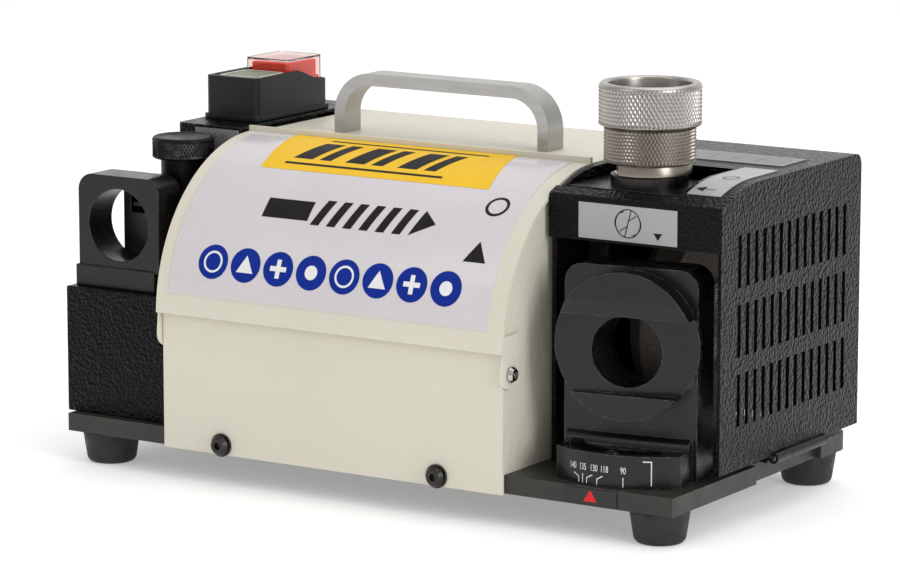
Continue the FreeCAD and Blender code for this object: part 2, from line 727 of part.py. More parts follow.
def cooling_fan():
    """Fan hub with blades on the shaft's left end."""
    hub_length = 10.0
    fan_left = dim.shaft_left + 0.0
    hub = rod("fan_hub", spindle_at(fan_left), 9, hub_length, "+X")
    blades = []
    for index in range(9):
        blade = doc.addObject("Part::Box", f"fan_blade_{index}")
        bind(blade, "Length", hub_length)
        bind(blade, "Width", 26)
        bind(blade, "Height", 1.8)
        angle = index * 40
        lean = Rotation(Vector(1, 0, 0), angle)
        start = lean.multVec(Vector(0, 8, -0.9))
        blade.Placement = Placement(Vector(fan_left.value, dim.spindle_y.value + start.y,
                                           dim.spindle_height.value + start.z), lean)
        bind(blade, "Placement.Base.x", fan_left)
        bind(blade, "Placement.Base.y", dim.spindle_y + start.y)
        bind(blade, "Placement.Base.z", dim.spindle_height + start.z)
        blades.append(blade)
    bore = rod("fan_bore", spindle_at(fan_left - 1), 5.0, hub_length + 2, "+X")
    publish(cut("fan_cut", fuse("fan_fused", [hub] + blades), bore), "cooling_fan")


def wheel_flanges():
    """Inner and outer clamping flanges of the grinding wheel."""
    inner = turned("flange_inner", [(5.0, 0), (9, 0), (9, 2), (20, 3.5), (20, 5.9), (5.0, 5.9)],
                   spindle_at(dim.wheel_left - 6), "+X")
    outer = turned("flange_outer", [(5.0, 0), (20, 0), (20, 2.4), (9, 4), (5.0, 4)],
                   spindle_at(dim.wheel_right + 0.1), "+X")
    publish(gather("flange_group", [inner, outer]), "wheel_flanges")


def grinding_wheel():
    """Abrasive wheel with a bevelled left rim."""
    width = dim.wheel_right - dim.wheel_left
    bevel = dim.wheel_bevel
    profile = [
        (5.05, 0), (dim.wheel_radius - bevel, 0), (dim.wheel_radius, bevel),
        (dim.wheel_radius, width), (5.05, width),
    ]
    publish(turned("wheel_body", profile, spindle_at(dim.wheel_left), "+X"), "grinding_wheel")


def wheel_nut():
    body = plate("wheel_nut_body", hexagon(17.0), "XY", 0, 6.5,
                 spindle_at(dim.wheel_right + 4.2), "+X")
    bore = rod("wheel_nut_bore", spindle_at(dim.wheel_right + 3), 5.02, 10, "+X")
    publish(cut("wheel_nut_cut", body, bore), "wheel_nut")


def motor_cradle():
    """Saddle that carries the motor on the base plate."""
    left = dim.motor_left + 30
    length = 48.0
    feet_half = 44.0
    block = box("cradle_block", (left, dim.spindle_y - 34, PLATE_TOP),
                (left + length, dim.spindle_y + 34, dim.spindle_height - 18))
    base = box("cradle_base", (left, dim.spindle_y - feet_half, PLATE_TOP),
               (left + length, dim.spindle_y + feet_half, PLATE_TOP + 6))
    seat = rod("cradle_seat", spindle_at(left - 1), dim.motor_radius, length + 2, "+X")
    places = cradle_screw_places(left, length, feet_half)
    holes = [rod(f"cradle_hole_{i}", (x, y, PLATE_TOP - 1), 2.6, 9) for i, (x, y) in enumerate(places)]
    publish(cut("cradle_cut", fuse("cradle_fused", [block, base]), [seat] + holes), "motor_cradle")
    screws = [
        socket_screw(f"cradle_screw_{i}", (x, y, PLATE_TOP + 6), "+Z", 4.2, 4.5, 2.5, 5.8, 4.0)
        for i, (x, y) in enumerate(places)
    ]
    publish(gather("cradle_screws_group", screws), "cradle_screws")


def cradle_screw_places(left, length, feet_half):
    return [
        (left + dx, dim.spindle_y + (feet_half - 5) * side)
        for dx in (4, length - 4) for side in (-1, 1)
    ]


# ---------------------------------------------------------------- right cover and its hinge

def cover_profile(inset, extra=0):
    """Side outline of the cover, drawn in by an inset: flat back, crowned top, upright front."""
    front = dim.cover_front + inset
    back = dim.cover_back - inset
    roof = dim.cover_roof - inset
    nose = dim.cover_front_corner - inset
    heel = dim.cover_back_corner - inset
    crown = dim.cover_crown_radius - inset
    nose_y = front + nose
    nose_top = crown_height(nose_y, -as_size(inset))
    bottom = dim.cover_bottom - extra
    return [
        (front, bottom), (back, bottom), (back, roof - heel, heel, 1), (back - heel, roof),
        (dim.cover_crown_y, roof, crown, 1), (nose_y, nose_top, nose + 0.2, 1), (front, nose_top - nose),
    ]


def crown_height(y, lift):
    """Height of the cover's crowned front, lifted off its face, at a depth y."""
    radius = dim.cover_crown_radius + lift
    reach = as_size(y) - dim.cover_crown_y
    value = dim.cover_roof.value - dim.cover_crown_radius.value
    value += math.sqrt(radius.value ** 2 - reach.value ** 2)
    root = f"sqrt({radius.text} * {radius.text} - {reach.text} * {reach.text})"
    return Size(value, f"({dim.cover_roof.text} - {dim.cover_crown_radius.text} + {root})")


def right_cover():
    """Folded sheet cover over the wheel, open on the left, below and towards the holder."""
    outer = plate("cover_outer", cover_profile(0), "YZ", dim.cover_left,
                  dim.cover_right - dim.cover_left)
    inner = plate("cover_inner", cover_profile(dim.cover_sheet, 5), "YZ", dim.cover_left - 5,
                  dim.cover_right - dim.cover_sheet - dim.cover_left + 5)
    inside_wall = dim.cover_right - dim.cover_sheet
    doorway = box("cover_doorway", (dim.cover_left - 5, dim.cover_front - 5, 0),
                  (inside_wall, dim.cover_front + 6, dim.header_bottom))
    opening = box("cover_opening", (dim.cover_left - 5, dim.opening_front, dim.cover_roof - 14),
                  (dim.opening_right, dim.opening_back, dim.cover_roof + 10))
    hinge_relief = box("cover_hinge_relief", (inside_wall - 1, dim.hinge_front - 0.5, 0),
                       (dim.cover_right + 1, dim.hinge_back + 0.5, dim.hinge_height + 2.9))
    slots = []
    for row in range(3):
        for column in range(14):
            y = dim.slot_first_y + dim.slot_pitch * column - dim.slot_width / 2
            z = dim.slot_bottom + dim.slot_row_pitch * row
            slots.append(box(f"cover_slot_{row}_{column}", (inside_wall - 1, y, z),
                             (dim.cover_right + 1, y + dim.slot_width, z + dim.slot_height)))
    shell = cut("cover_shell", outer, inner)
    publish(cut("cover_cut", shell, [doorway, opening, hinge_relief] + slots), "right_cover")


def guard_plate():
    """Fixed wall between the motor and the wheel; its arched top edge borders the cover's opening."""
    outer = dim.hood_radius - 0.5
    left = dim.cover_left + 0.4
    front = dim.cover_front + dim.cover_sheet + 0.4
    back = dim.cover_back - dim.cover_sheet - 0.4
    low = dim.cover_roof - dim.cover_sheet - 0.6
    top = dim.hood_centre_height + outer
    body = plate("guard_body", [
        (front, PLATE_TOP), (back, PLATE_TOP), (back, low - 4), (back - 4, low),
        (dim.opening_back - 1.5, low), (dim.opening_back - 3, top),
        (dim.hood_centre_y, top, outer, 1), (front, hood_height(outer, front)),
    ], "YZ", left, 2.2)
    hole = rod("guard_shaft_hole", (left - 1, dim.spindle_y, dim.spindle_height), 17, 8, "+X")
    publish(cut("guard_cut", body, hole), "wheel_guard_plate")


def cover_hinge():
    """Butt hinge along the cover's bottom edge: one leaf on the plate, one inside the cover."""
    axis_at = (dim.hinge_x, dim.hinge_front, dim.hinge_height)
    length = dim.hinge_back - dim.hinge_front
    split_gap = 0.3
    publish(rod("hinge_pin_rod", axis_at, dim.pin_radius, length, "+Y"), "hinge_pin")
    bore_radius = dim.pin_radius + 0.06

    def knuckle(name, start, end):
        at = (dim.hinge_x, start, dim.hinge_height)
        return rod(name, at, dim.knuckle_radius, end - start, "+Y")

    def bore(name):
        return rod(name, (dim.hinge_x, dim.hinge_front - 5, dim.hinge_height), bore_radius,
                   length + 10, "+Y")

    near = dim.hinge_x - dim.knuckle_radius - 0.5
    fixed = fuse("hinge_fixed_fused", [
        knuckle("hinge_fixed_knuckle", dim.hinge_split + split_gap, dim.hinge_back),
        box("hinge_fixed_leaf", (140, dim.hinge_front, PLATE_TOP), (near, dim.hinge_back, PLATE_TOP + 1.2)),
        box("hinge_fixed_bridge", (near - 1, dim.hinge_split + split_gap, PLATE_TOP),
            (dim.hinge_x, dim.hinge_back, PLATE_TOP + 1.2)),
    ])
    publish(cut("hinge_fixed_cut", fixed, bore("hinge_fixed_bore")), "hinge_leaf_fixed")
    wall = dim.cover_right - dim.cover_sheet
    moving = fuse("hinge_moving_fused", [
        knuckle("hinge_moving_knuckle", dim.hinge_front, dim.hinge_split),
        box("hinge_moving_leaf", (wall - 1.2, dim.hinge_front, dim.hinge_height + 2.9),
            (wall, dim.hinge_back, dim.hinge_height + 18.2)),
        box("hinge_moving_bridge", (wall - 1.2, dim.hinge_front, dim.hinge_height),
            (wall, dim.hinge_split, dim.hinge_height + 4)),
    ])
    publish(cut("hinge_moving_cut", moving, bore("hinge_moving_bore")), "hinge_leaf_moving")


# ---------------------------------------------------------------- swivelling point angle holder

def swivel_holder():
    """Holder block on a flange that turns about an upright pivot; built square, then turned."""
    turn = Rotation(Vector(0, 0, 1), dim.swivel_rest_angle.value)
    at = (dim.pivot_x, dim.pivot_y, 0)
    half = dim.holder_half_width
    body = new_body("holder_body", at, turn=turn)
    upright = new_sketch(body, "XZ", dim.holder_back)
    corner = dim.holder_corner
    outline(upright, [
        (-half, dim.flange_bottom), (half, dim.flange_bottom), (half, dim.holder_top - corner, corner, 1),
        (half - corner, dim.holder_top), (-half + corner, dim.holder_top, corner, 1),
        (-half, dim.holder_top - corner),
    ])
    pad(body, upright, dim.holder_front - dim.holder_back)
    flange = new_sketch(body, "XY", dim.flange_bottom)
    wide = dim.flange_half_width
    radius = dim.flange_radius
    reach = Size(math.sqrt(radius.value ** 2 - wide.value ** 2),
                 f"sqrt({radius.text} * {radius.text} - {wide.text} * {wide.text})")
    inside = -dim.holder_front + 4
    outline(flange, [
        (-wide, -reach, radius, 1), (wide, -reach), (wide, inside), (14, inside), (14, 0, 14, 1),
        (0, 14, 14, 1), (-14, 0), (-14, inside), (-wide, inside),
    ])
    pad(body, flange, dim.flange_top - dim.flange_bottom)
    disc = new_sketch(body, "XZ", dim.holder_front - 1)
    ring(disc, (0, dim.disc_height), dim.disc_radius)
    pad(body, disc, dim.disc_front - dim.holder_front + 1)
    blend = 4.5
    front = -dim.holder_front
    fillet = plate("holder_blend", [
        (front + 1, dim.flange_top - 1), (front + 1, dim.flange_top + blend),
        (front, dim.flange_top + blend, blend, 1),
        (front - blend, dim.flange_top), (front - blend, dim.flange_top - 1),
    ], "YZ", -dim.flange_half_width, dim.flange_half_width * 2, at, turn=turn)
    whole = fuse("holder_fused", [body, fillet])
    publish(cut("holder_cut", whole, swivel_tools(turn, at)), "swivel_holder")


def swivel_tools(turn, at):
    """What is milled out of the holder: bore, slanting channel with its bevel, lock groove and slot."""
    bore = new_body("holder_bore", at, turn=turn)
    sketch = new_sketch(bore, "XZ", -10)
    ring(sketch, (0, dim.spindle_height), dim.holder_bore_radius)
    pad(bore, sketch, 60)
    reach = dim.disc_radius
    floor = dim.disc_front - dim.channel_depth
    channel = plate("holder_channel", [
        (-reach, -floor), (reach, -dim.channel_deep_end), (50, -dim.channel_deep_end), (50, -60), (-50, -60),
        (-50, -floor),
    ], "XY", dim.channel_bottom, dim.channel_top - dim.channel_bottom, at, turn=turn)
    bevel = plate("holder_bevel", [
        (-floor, dim.channel_top - 1), (-floor, dim.channel_top),
        (-dim.disc_front, dim.channel_top + dim.channel_bevel),
        (-dim.disc_front - 5, dim.channel_top + dim.channel_bevel),
        (-dim.disc_front - 5, dim.channel_top - 1),
    ], "YZ", -50, 100, at, turn=turn)
    tools = [bore, channel, bevel]
    for name, half_width, low, high in (
            ("groove", dim.groove_half_width, dim.flange_top - dim.groove_depth, dim.flange_top + 2),
            ("slot", dim.slot_half_width, dim.flange_bottom - 2, dim.flange_top)):
        tools.append(plate(f"holder_{name}", curved_groove(half_width), "XY", low, high - low, at, turn=turn))
    tools.append(rod("holder_pivot_hole", (dim.pivot_x, dim.pivot_y, 0), 5.05, 60))
    return tools


def curved_groove(half_width):
    """Outline of a round-ended groove on a circle about the pivot, seen from above."""
    outer = dim.lock_radius + half_width
    inner = dim.lock_radius - half_width
    first, last = (math.radians(angle) for angle in (-33.0, 21.5))

    def on_circle(radius, angle, beyond=0):
        away = as_size(beyond)
        return (radius * math.sin(angle) + away * math.cos(angle),
                away * math.sin(angle) - radius * math.cos(angle))

    return [
        (*on_circle(outer, first), outer, 1), (*on_circle(outer, last), half_width, 1),
        (*on_circle(dim.lock_radius, last, half_width), half_width, 1), (*on_circle(inner, last), inner, -1),
        (*on_circle(inner, first), half_width, 1),
        (*on_circle(dim.lock_radius, first, -half_width), half_width, 1),
    ]


def swivel_fasteners():
    """Pivot pin, and the lock screw that stands in the curved groove."""
    bottom = dim.foot_height
    head = dim.flange_top + 0.3
    publish(turned("pivot_pin_body", [
        (0, 0), (3.95, 0), (3.95, PLATE_TOP - bottom), (5.0, PLATE_TOP - bottom), (5.0, head - bottom),
        (7.2, head - bottom), (7.2, head + 2.7 - bottom), (0, head + 2.7 - bottom),
    ], (dim.pivot_x, dim.pivot_y, bottom)), "swivel_pivot_pin")
    seat = dim.flange_top - dim.groove_depth + 0.3
    publish(socket_screw("lock_screw_body", (dim.lock_x, dim.lock_y, seat), "+Z", 4.2, 4.6, 2.0,
                         seat - bottom - 1, 3.0), "swivel_lock_screw")


def pointer_plate():
    """Thin plate on the base plate's front edge that carries the pointer for the angle scale."""
    publish(box("pointer_box", (104.5, -HALF_DEPTH - 0.5, dim.foot_height + 0.4),
                (129.5, -HALF_DEPTH, PLATE_TOP - 0.6)), "pointer_plate")


# ---------------------------------------------------------------- top station and collet chuck

def station_table():
    """Bracket: a table under the cover's opening on a post that stands on the plate."""
    left = dim.cover_left + 3.3
    bottom = dim.table_top - dim.table_thick
    table = box("station_top", (left, -37, bottom), (133, 4, dim.table_top))
    post = box("station_post", (left, -20, PLATE_TOP), (left + 10, 4, bottom + 1))
    hole = rod("station_hole", (dim.chuck_x, dim.chuck_y, bottom - 20), dim.sleeve_radius, 40)
    publish(cut("station_cut", fuse("station_fused", [table, post]), hole), "top_station_bracket")


def station_sleeve():
    bottom = dim.sleeve_bottom
    inner = dim.chuck_radius + 0.06
    length = dim.sleeve_top - bottom
    publish(turned("sleeve_body", [
        (inner, 0), (dim.sleeve_radius, 0), (dim.sleeve_radius, length), (inner, length),
    ], (dim.chuck_x, dim.chuck_y, bottom)), "station_sleeve")


CHUCK_BAND_RADIUS = 18.0
CHUCK_GRIP_RADIUS = 19.7
CHUCK_RING_RADIUS = 22.0


def collet_chuck():
    """Chuck body: a plain stem, an index band and a knurled grip; a draw ring closes its collet."""
    bottom = 120.0
    band = dim.sleeve_top + 0.3
    grip = 151.1
    neck = 166.4
    ring_floor = 170.0
    top = 184.8

    def level(z):
        return as_size(z) - bottom

    body = turned("chuck_body_turned", [
        (10.9, 0), (dim.chuck_radius, 0), (dim.chuck_radius, level(band)), (CHUCK_BAND_RADIUS, level(band)),
        (CHUCK_BAND_RADIUS, level(grip)), (CHUCK_GRIP_RADIUS, level(grip)),
        (CHUCK_GRIP_RADIUS, level(neck)), (15.0, level(neck)), (15.0, level(ring_floor + 3)),
        (10.9, level(ring_floor + 3)),
    ], (dim.chuck_x, dim.chuck_y, bottom))
    notch = plate("chuck_index_notch", [(-25, -25), (-13.8, -25), (-13.8, 25), (-25, 25)], "XY",
                  band, grip - band, (dim.chuck_x, dim.chuck_y, 0),
                  turn=Rotation(Vector(0, 0, 1), 32.6))
    publish(cut("chuck_cut", body, notch), "chuck_body")
    publish(turned("chuck_ring_turned", [
        (15.06, level(neck) + 0.3), (CHUCK_RING_RADIUS - 1, level(neck) + 0.3),
        (CHUCK_RING_RADIUS, level(neck) + 1.3), (CHUCK_RING_RADIUS, level(top) - 1.2),
        (CHUCK_RING_RADIUS - 1.2, level(top)), (18.4, level(top)), (17.8, level(top) - 0.8),
        (17.8, level(ring_floor)), (15.06, level(ring_floor)),
    ], (dim.chuck_x, dim.chuck_y, bottom)), "chuck_draw_ring")
    publish(turned("chuck_collet_turned", [
        (3.0, 0), (7.5, 0), (10.85, 22), (10.85, 47.7), (12.3, 49.2), (12.3, 50), (3.0, 50),
    ], (dim.chuck_x, dim.chuck_y, bottom + 5.5)), "chuck_collet")


# ---------------------------------------------------------------- drill setting gauge on the left

def gauge_box():
    """Sheet steel box that the gauge stands on, stepped back beside the lid's ear."""
    left, right, front, back = dim.box_left, dim.box_right, dim.box_front, dim.box_back
    step_height = 57.6
    body = plate("gauge_box_body", [
        (left, PLATE_TOP), (right, PLATE_TOP), (right, step_height), (right - 5, step_height),
        (right - 5, dim.box_top), (left, dim.box_top),
    ], "XZ", -back, back - front)
    sheet_gap = dim.cover_sheet
    hollow = box("gauge_box_hollow", (left + sheet_gap, front + sheet_gap, PLATE_TOP - 2),
                 (right - 5 - sheet_gap, back - sheet_gap, dim.box_top - sheet_gap - 1.4))
    publish(cut("gauge_box_cut", body, hollow), "gauge_base_box")


def setting_block():
    """Upright block with the bore that takes the chuck for setting the drill."""
    corner = 7.5
    left, right, top = dim.block_left, dim.block_right, dim.block_top
    block = plate("setting_block_body", [
        (left, dim.block_foot_top - 1), (right, dim.block_foot_top - 1), (right, top - corner, corner, 1),
        (right - corner, top), (left + corner, top, corner, 1), (left, top - corner),
    ], "XZ", -dim.block_back, dim.block_back - dim.block_front)
    foot = box("setting_foot", (left - 1, dim.block_front - 1.2, dim.box_top),
               (right - 2, dim.block_back, dim.block_foot_top))
    bore = rod("setting_bore", (dim.gauge_hole_x, dim.block_front - 5, dim.gauge_hole_height),
               dim.gauge_hole_radius, 30, "+Y")
    publish(cut("setting_cut", fuse("setting_fused", [block, foot]), bore), "setting_block")


GAUGE_LEFT = -144.5
GAUGE_RIGHT = -104.6
GAUGE_FRONT = -50.9
STOP_BOTTOM = 104.0
STOP_TOP = 116.3
STOP_TRAVEL = 2.3


def gauge_housing():
    """Block behind the setting bore that guides the drill stop and carries the knob."""
    back = dim.box_back - 0.3
    block = box("gauge_block", (GAUGE_LEFT, GAUGE_FRONT, dim.box_top),
                (GAUGE_RIGHT, back, dim.gauge_housing_top))
    shaft = rod("gauge_shaft_hole", (dim.knob_x, dim.knob_y, dim.box_top + 8), 4.05, 60)
    chamber = box("gauge_chamber", (dim.knob_x - 9.3, dim.knob_y - 9.3, STOP_BOTTOM - STOP_TRAVEL - 0.4),
                  (dim.knob_x + 9.3, dim.knob_y + 9.3, STOP_TOP + STOP_TRAVEL + 0.4))
    window = box("gauge_window", (-140.2, GAUGE_FRONT - 2, STOP_TOP - 2 - STOP_TRAVEL - 0.4),
                 (-125.8, dim.knob_y, STOP_TOP + STOP_TRAVEL + 0.4))
    publish(cut("gauge_housing_cut", block, [shaft, chamber, window]), "gauge_housing")


def stop_slide():
    """Drill stop that the knob's screw moves up and down behind the setting bore."""
    nut = box("stop_nut", (dim.knob_x - 9, dim.knob_y - 9, STOP_BOTTOM),
              (dim.knob_x + 9, dim.knob_y + 9, STOP_TOP))
    arm = box("stop_arm", (-139.6, GAUGE_FRONT + 0.6, STOP_TOP - 2), (-126.4, dim.knob_y - 8, STOP_TOP))
    hole = rod("stop_hole", (dim.knob_x, dim.knob_y, STOP_BOTTOM - 5), 4.05, 30)
    publish(cut("stop_cut", fuse("stop_fused", [nut, arm]), hole), "drill_stop_slide")


def adjusting_knob():
    """Knurled knob with a stem and the screw shaft."""
    top = dim.knob_top
    grip_bottom = top - dim.knob_grip
    radius = dim.knob_radius
    floor = dim.box_top + 10
    stem_bottom = dim.gauge_housing_top + 0.3

    def level(z):
        return z - floor

    publish(turned("knob_turned", [
        (0, 0), (3.98, 0), (3.98, level(stem_bottom)), (10.1, level(stem_bottom)),
        (10.1, level(grip_bottom)), (radius - 0.8, level(grip_bottom)),
        (radius, level(grip_bottom) + 0.8), (radius, level(top) - 1.0), (radius - 1.2, level(top)),
        (0, level(top)),
    ], (dim.knob_x, dim.knob_y, floor)), "adjusting_knob")


# ---------------------------------------------------------------- control box and switch

def control_box():
    """Sheet steel box for the wiring, closed on the left, front, back and top."""
    left, right, front = dim.control_left, dim.control_right, dim.control_front
    thick = dim.cover_sheet
    body = new_body("control_box_body")
    sketch = new_sketch(body, "XY", PLATE_TOP)
    back = HALF_DEPTH
    outline(sketch, [
        (left + 3, front), (right, front), (right, back), (left + 3, back, 3, 1), (left, back - 3),
        (left, front + 3, 3, 1),
    ])
    pad(body, sketch, dim.control_top - PLATE_TOP)
    hollow = box("control_hollow", (left + thick, front + thick, PLATE_TOP - 2),
                 (right + 5, back - thick, dim.control_top - thick))
    gland_hole = rod("control_gland_hole", (-120, back - 5, 40), 6.05, 10, "+Y")
    switch_hole = box("control_switch_hole", (dim.switch_left + 3, dim.switch_front + 3, dim.control_top - 5),
                      (dim.switch_right - 3, dim.switch_back - 3, dim.control_top + 5))
    publish(cut("control_cut", body, [hollow, gland_hole, switch_hole]), "control_box")


def cable_gland():
    """Round gland in the control box's back wall for the mains lead."""
    publish(turned("gland_body", [
        (3.6, 0), (6.0, 0), (6.0, 5), (8.5, 5), (8.5, 8), (7.0, 11), (3.6, 11),
    ], (-120, HALF_DEPTH - 5, 40), "+Y"), "cable_gland")


def switch_housing():
    """Switch body with raised side walls around a low start button and a tall stop button."""
    left, right = dim.switch_left, dim.switch_right
    front, back = dim.switch_front, dim.switch_back
    seat = dim.control_top
    lip = 2.2
    skirt = new_body("switch_skirt")
    sketch = new_sketch(skirt, "XY", seat)
    outline(sketch, soft_rectangle((left - 1.2, front - 1.2), (right + 1.2, back + 1.2), 4.0))
    pad(skirt, sketch, lip)
    core = new_body("switch_core")
    sketch = new_sketch(core, "XY", seat)
    outline(sketch, soft_rectangle((left, front), (right, back), 3.4))
    pad(core, sketch, dim.switch_top - seat)
    below = new_body("switch_below")
    sketch = new_sketch(below, "XY", seat - 16)
    outline(sketch, soft_rectangle((left + 3.3, front + 3.3), (right - 3.3, back - 3.3), 1.0))
    pad(below, sketch, 16)
    slope_start = front + 34.5
    slope_end = front + 50.4
    crest = plate("switch_crest", [
        (slope_start, dim.switch_top), (slope_end, dim.switch_low_top), (back + 3, dim.switch_low_top),
        (back + 3, dim.switch_top + 3), (slope_start, dim.switch_top + 3),
    ], "YZ", left - 5, right - left + 10)
    well = box("switch_well", (left + 2.2, front + 3, dim.switch_top - 7),
               (right - 1.4, back - 1.7, dim.switch_top + 5))
    shafts = [
        rod("start_shaft_hole", (BUTTON_X, START_Y, seat - 17), 3.0, 40),
        rod("stop_shaft_hole", (BUTTON_X, STOP_Y, seat - 17), 3.0, 40),
    ]
    publish(cut("switch_cut", fuse("switch_fused", [skirt, core, below]), [crest, well] + shafts),
            "switch_housing")


BUTTON_X = -120.9
START_Y = 16.2
STOP_Y = 42.0


def push_button(node, y, half_depth, top, half_width, flange=0.0):
    """Square button cap on a round plunger, with a flange at its foot if it has one."""
    low = 163.0
    pieces = [rod(f"{node}_stem", (BUTTON_X, y, dim.control_top - 8), 2.95, low - dim.control_top + 9)]
    for name, grow, height in (("cap", 0.0, top - low), ("flange", flange, 1.2)):
        if name == "flange" and not flange:
            continue
        block = new_body(f"{node}_{name}")
        sketch = new_sketch(block, "XY", low)
        outline(sketch, soft_rectangle((BUTTON_X - half_width - grow, y - half_depth - grow),
                                       (BUTTON_X + half_width + grow, y + half_depth + grow), 1.6))
        pad(block, sketch, height)
        pieces.append(block)
    publish(fuse(f"{node}_fused", pieces), node)


def stop_cover():
    """Clear cap over the stop button, open below."""
    half_depth = 13.9
    half_width = 12.1
    low = 162.9
    top = 173.6
    wall = 0.9
    shell = new_body("stop_cover_shell")
    sketch = new_sketch(shell, "XY", low)
    outline(sketch, soft_rectangle((BUTTON_X - half_width, STOP_Y - half_depth),
                                   (BUTTON_X + half_width, STOP_Y + half_depth), 2.4))
    pad(shell, sketch, top - low)
    hollow = new_body("stop_cover_hollow")
    sketch = new_sketch(hollow, "XY", low - 2)
    outline(sketch, soft_rectangle((BUTTON_X - half_width + wall, STOP_Y - half_depth + wall),
                                   (BUTTON_X + half_width - wall, STOP_Y + half_depth - wall), 1.6))
    pad(hollow, sketch, top - wall - low + 2)
    publish(cut("stop_cover_cut", shell, hollow), "stop_button_cover")


# ---------------------------------------------------------------- scale plates

def labels():
    """Thin metal plates for the scales and setting marks."""
    thin = 0.4
    roof = dim.cover_roof
    face = dim.cover_front
    publish(box("header_label_box", (91.5, face - thin, 121.1), (139, face, 136.3)), "header_plate")
    publish(box("rear_label_box", (95, 23, roof), (150, 46, roof + thin)), "web_scale_plate")
    front = dim.control_front
    publish(box("gauge_label_box", (-127.5, front - thin, 132.5), (-103.6, front, 147.2)),
            "gauge_scale_plate")


def arched_plate():
    """Plate bent over the crown of the cover, beside the opening."""
    thin = 0.4
    start_y = -38.0
    end_y = 12.0
    crown = dim.cover_crown_radius
    roof = dim.cover_roof
    publish(plate("arched_body", [
        (start_y, crown_height(start_y, 0), crown, -1), (dim.cover_crown_y, roof), (end_y, roof),
        (end_y, roof + thin), (dim.cover_crown_y, roof + thin, crown + thin, 1),
        (start_y, crown_height(start_y, thin)),
    ], "YZ", 138.2, 16), "relief_scale_plate")


# ---------------------------------------------------------------- build, check and write

def build():
    base_plate()
    rubber_feet()
    motor_housing()
    front_panel()
    panel_fasteners()
    curved_lid()
    lid_label()
    lid_pivot_screws()
    collet_rack()
    spare_collets()
    carry_handle()
    motor_casing()
    motor_stator()
    brush_caps()
    end_bell("motor_end_bell_left_body", dim.motor_left, "-X")
    end_bell("motor_end_bell_right_body", dim.motor_right, "+X")
    motor_bearings()
    motor_rotor()
    cooling_fan()
    wheel_flanges()
    grinding_wheel()
    wheel_nut()
    motor_cradle()
    right_cover()
    guard_plate()
    cover_hinge()
    swivel_holder()
    swivel_fasteners()
    pointer_plate()
    station_table()
    station_sleeve()
    collet_chuck()
    gauge_box()
    setting_block()
    gauge_housing()
    stop_slide()
    adjusting_knob()
    control_box()
    cable_gland()
    switch_housing()
    push_button("start_button", START_Y, 11.2, 168.0, 11.5)
    push_button("stop_button", STOP_Y, 11.8, 171.5, 10.1, flange=1.0)
    stop_cover()
    labels()
    arched_plate()


def check_document():
    """Stop if any object failed or any part's shape is missing or broken."""
    for thing in doc.Objects:
        if {"Invalid", "Error"} & set(thing.State):
            raise RuntimeError(f"{thing.Name} ({thing.Label}) failed: {thing.State}")
    for part in PARTS:
        if part.Shape.isNull() or not part.Shape.isValid() or not part.Shape.Solids:
            raise RuntimeError(f"{part.Label} has no valid solid")


def write_parts():
    os.makedirs("parts", exist_ok=True)
    for part in PARTS:
        part.Shape.exportStep(f"parts/{part.Label}.step")
        bounds = part.Shape.BoundBox
        print(f"{part.Label}: {len(part.Shape.Solids)} solids, {part.Shape.Volume / 1000:.1f} cm3,"
              f" x {bounds.XMin:.1f}..{bounds.XMax:.1f}, y {bounds.YMin:.1f}..{bounds.YMax:.1f},"
              f" z {bounds.ZMin:.1f}..{bounds.ZMax:.1f}")


build()
doc.recompute()
check_document()
write_parts()
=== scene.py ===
"""Looks of a bench drill bit sharpener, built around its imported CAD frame."""

import json
import math

import bmesh
import bpy
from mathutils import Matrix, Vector


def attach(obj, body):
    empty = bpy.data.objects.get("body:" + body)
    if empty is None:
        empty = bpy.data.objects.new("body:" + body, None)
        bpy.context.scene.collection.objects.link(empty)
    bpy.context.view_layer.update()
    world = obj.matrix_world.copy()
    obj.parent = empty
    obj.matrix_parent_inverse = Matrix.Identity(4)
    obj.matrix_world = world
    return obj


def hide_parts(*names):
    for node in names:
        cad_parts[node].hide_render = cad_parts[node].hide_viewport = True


MM = 0.001
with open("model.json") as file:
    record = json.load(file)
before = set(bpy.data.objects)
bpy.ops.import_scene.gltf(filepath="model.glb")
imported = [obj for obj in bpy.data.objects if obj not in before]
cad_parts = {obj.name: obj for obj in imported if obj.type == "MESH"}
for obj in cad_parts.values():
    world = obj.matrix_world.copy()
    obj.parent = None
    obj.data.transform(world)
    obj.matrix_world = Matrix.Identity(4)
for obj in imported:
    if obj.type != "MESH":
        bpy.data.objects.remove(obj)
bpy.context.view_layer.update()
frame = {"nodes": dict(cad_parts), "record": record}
NODES = frame["nodes"]
NODE_BODY = {
    node: body
    for body, members in frame["record"]["behaviour"]["bodies"].items()
    for node in members
}
NODE_SLOT = {part["node"]: part["material_slot"] for part in frame["record"]["subparts"]}


# ---------------------------------------------------------------- materials

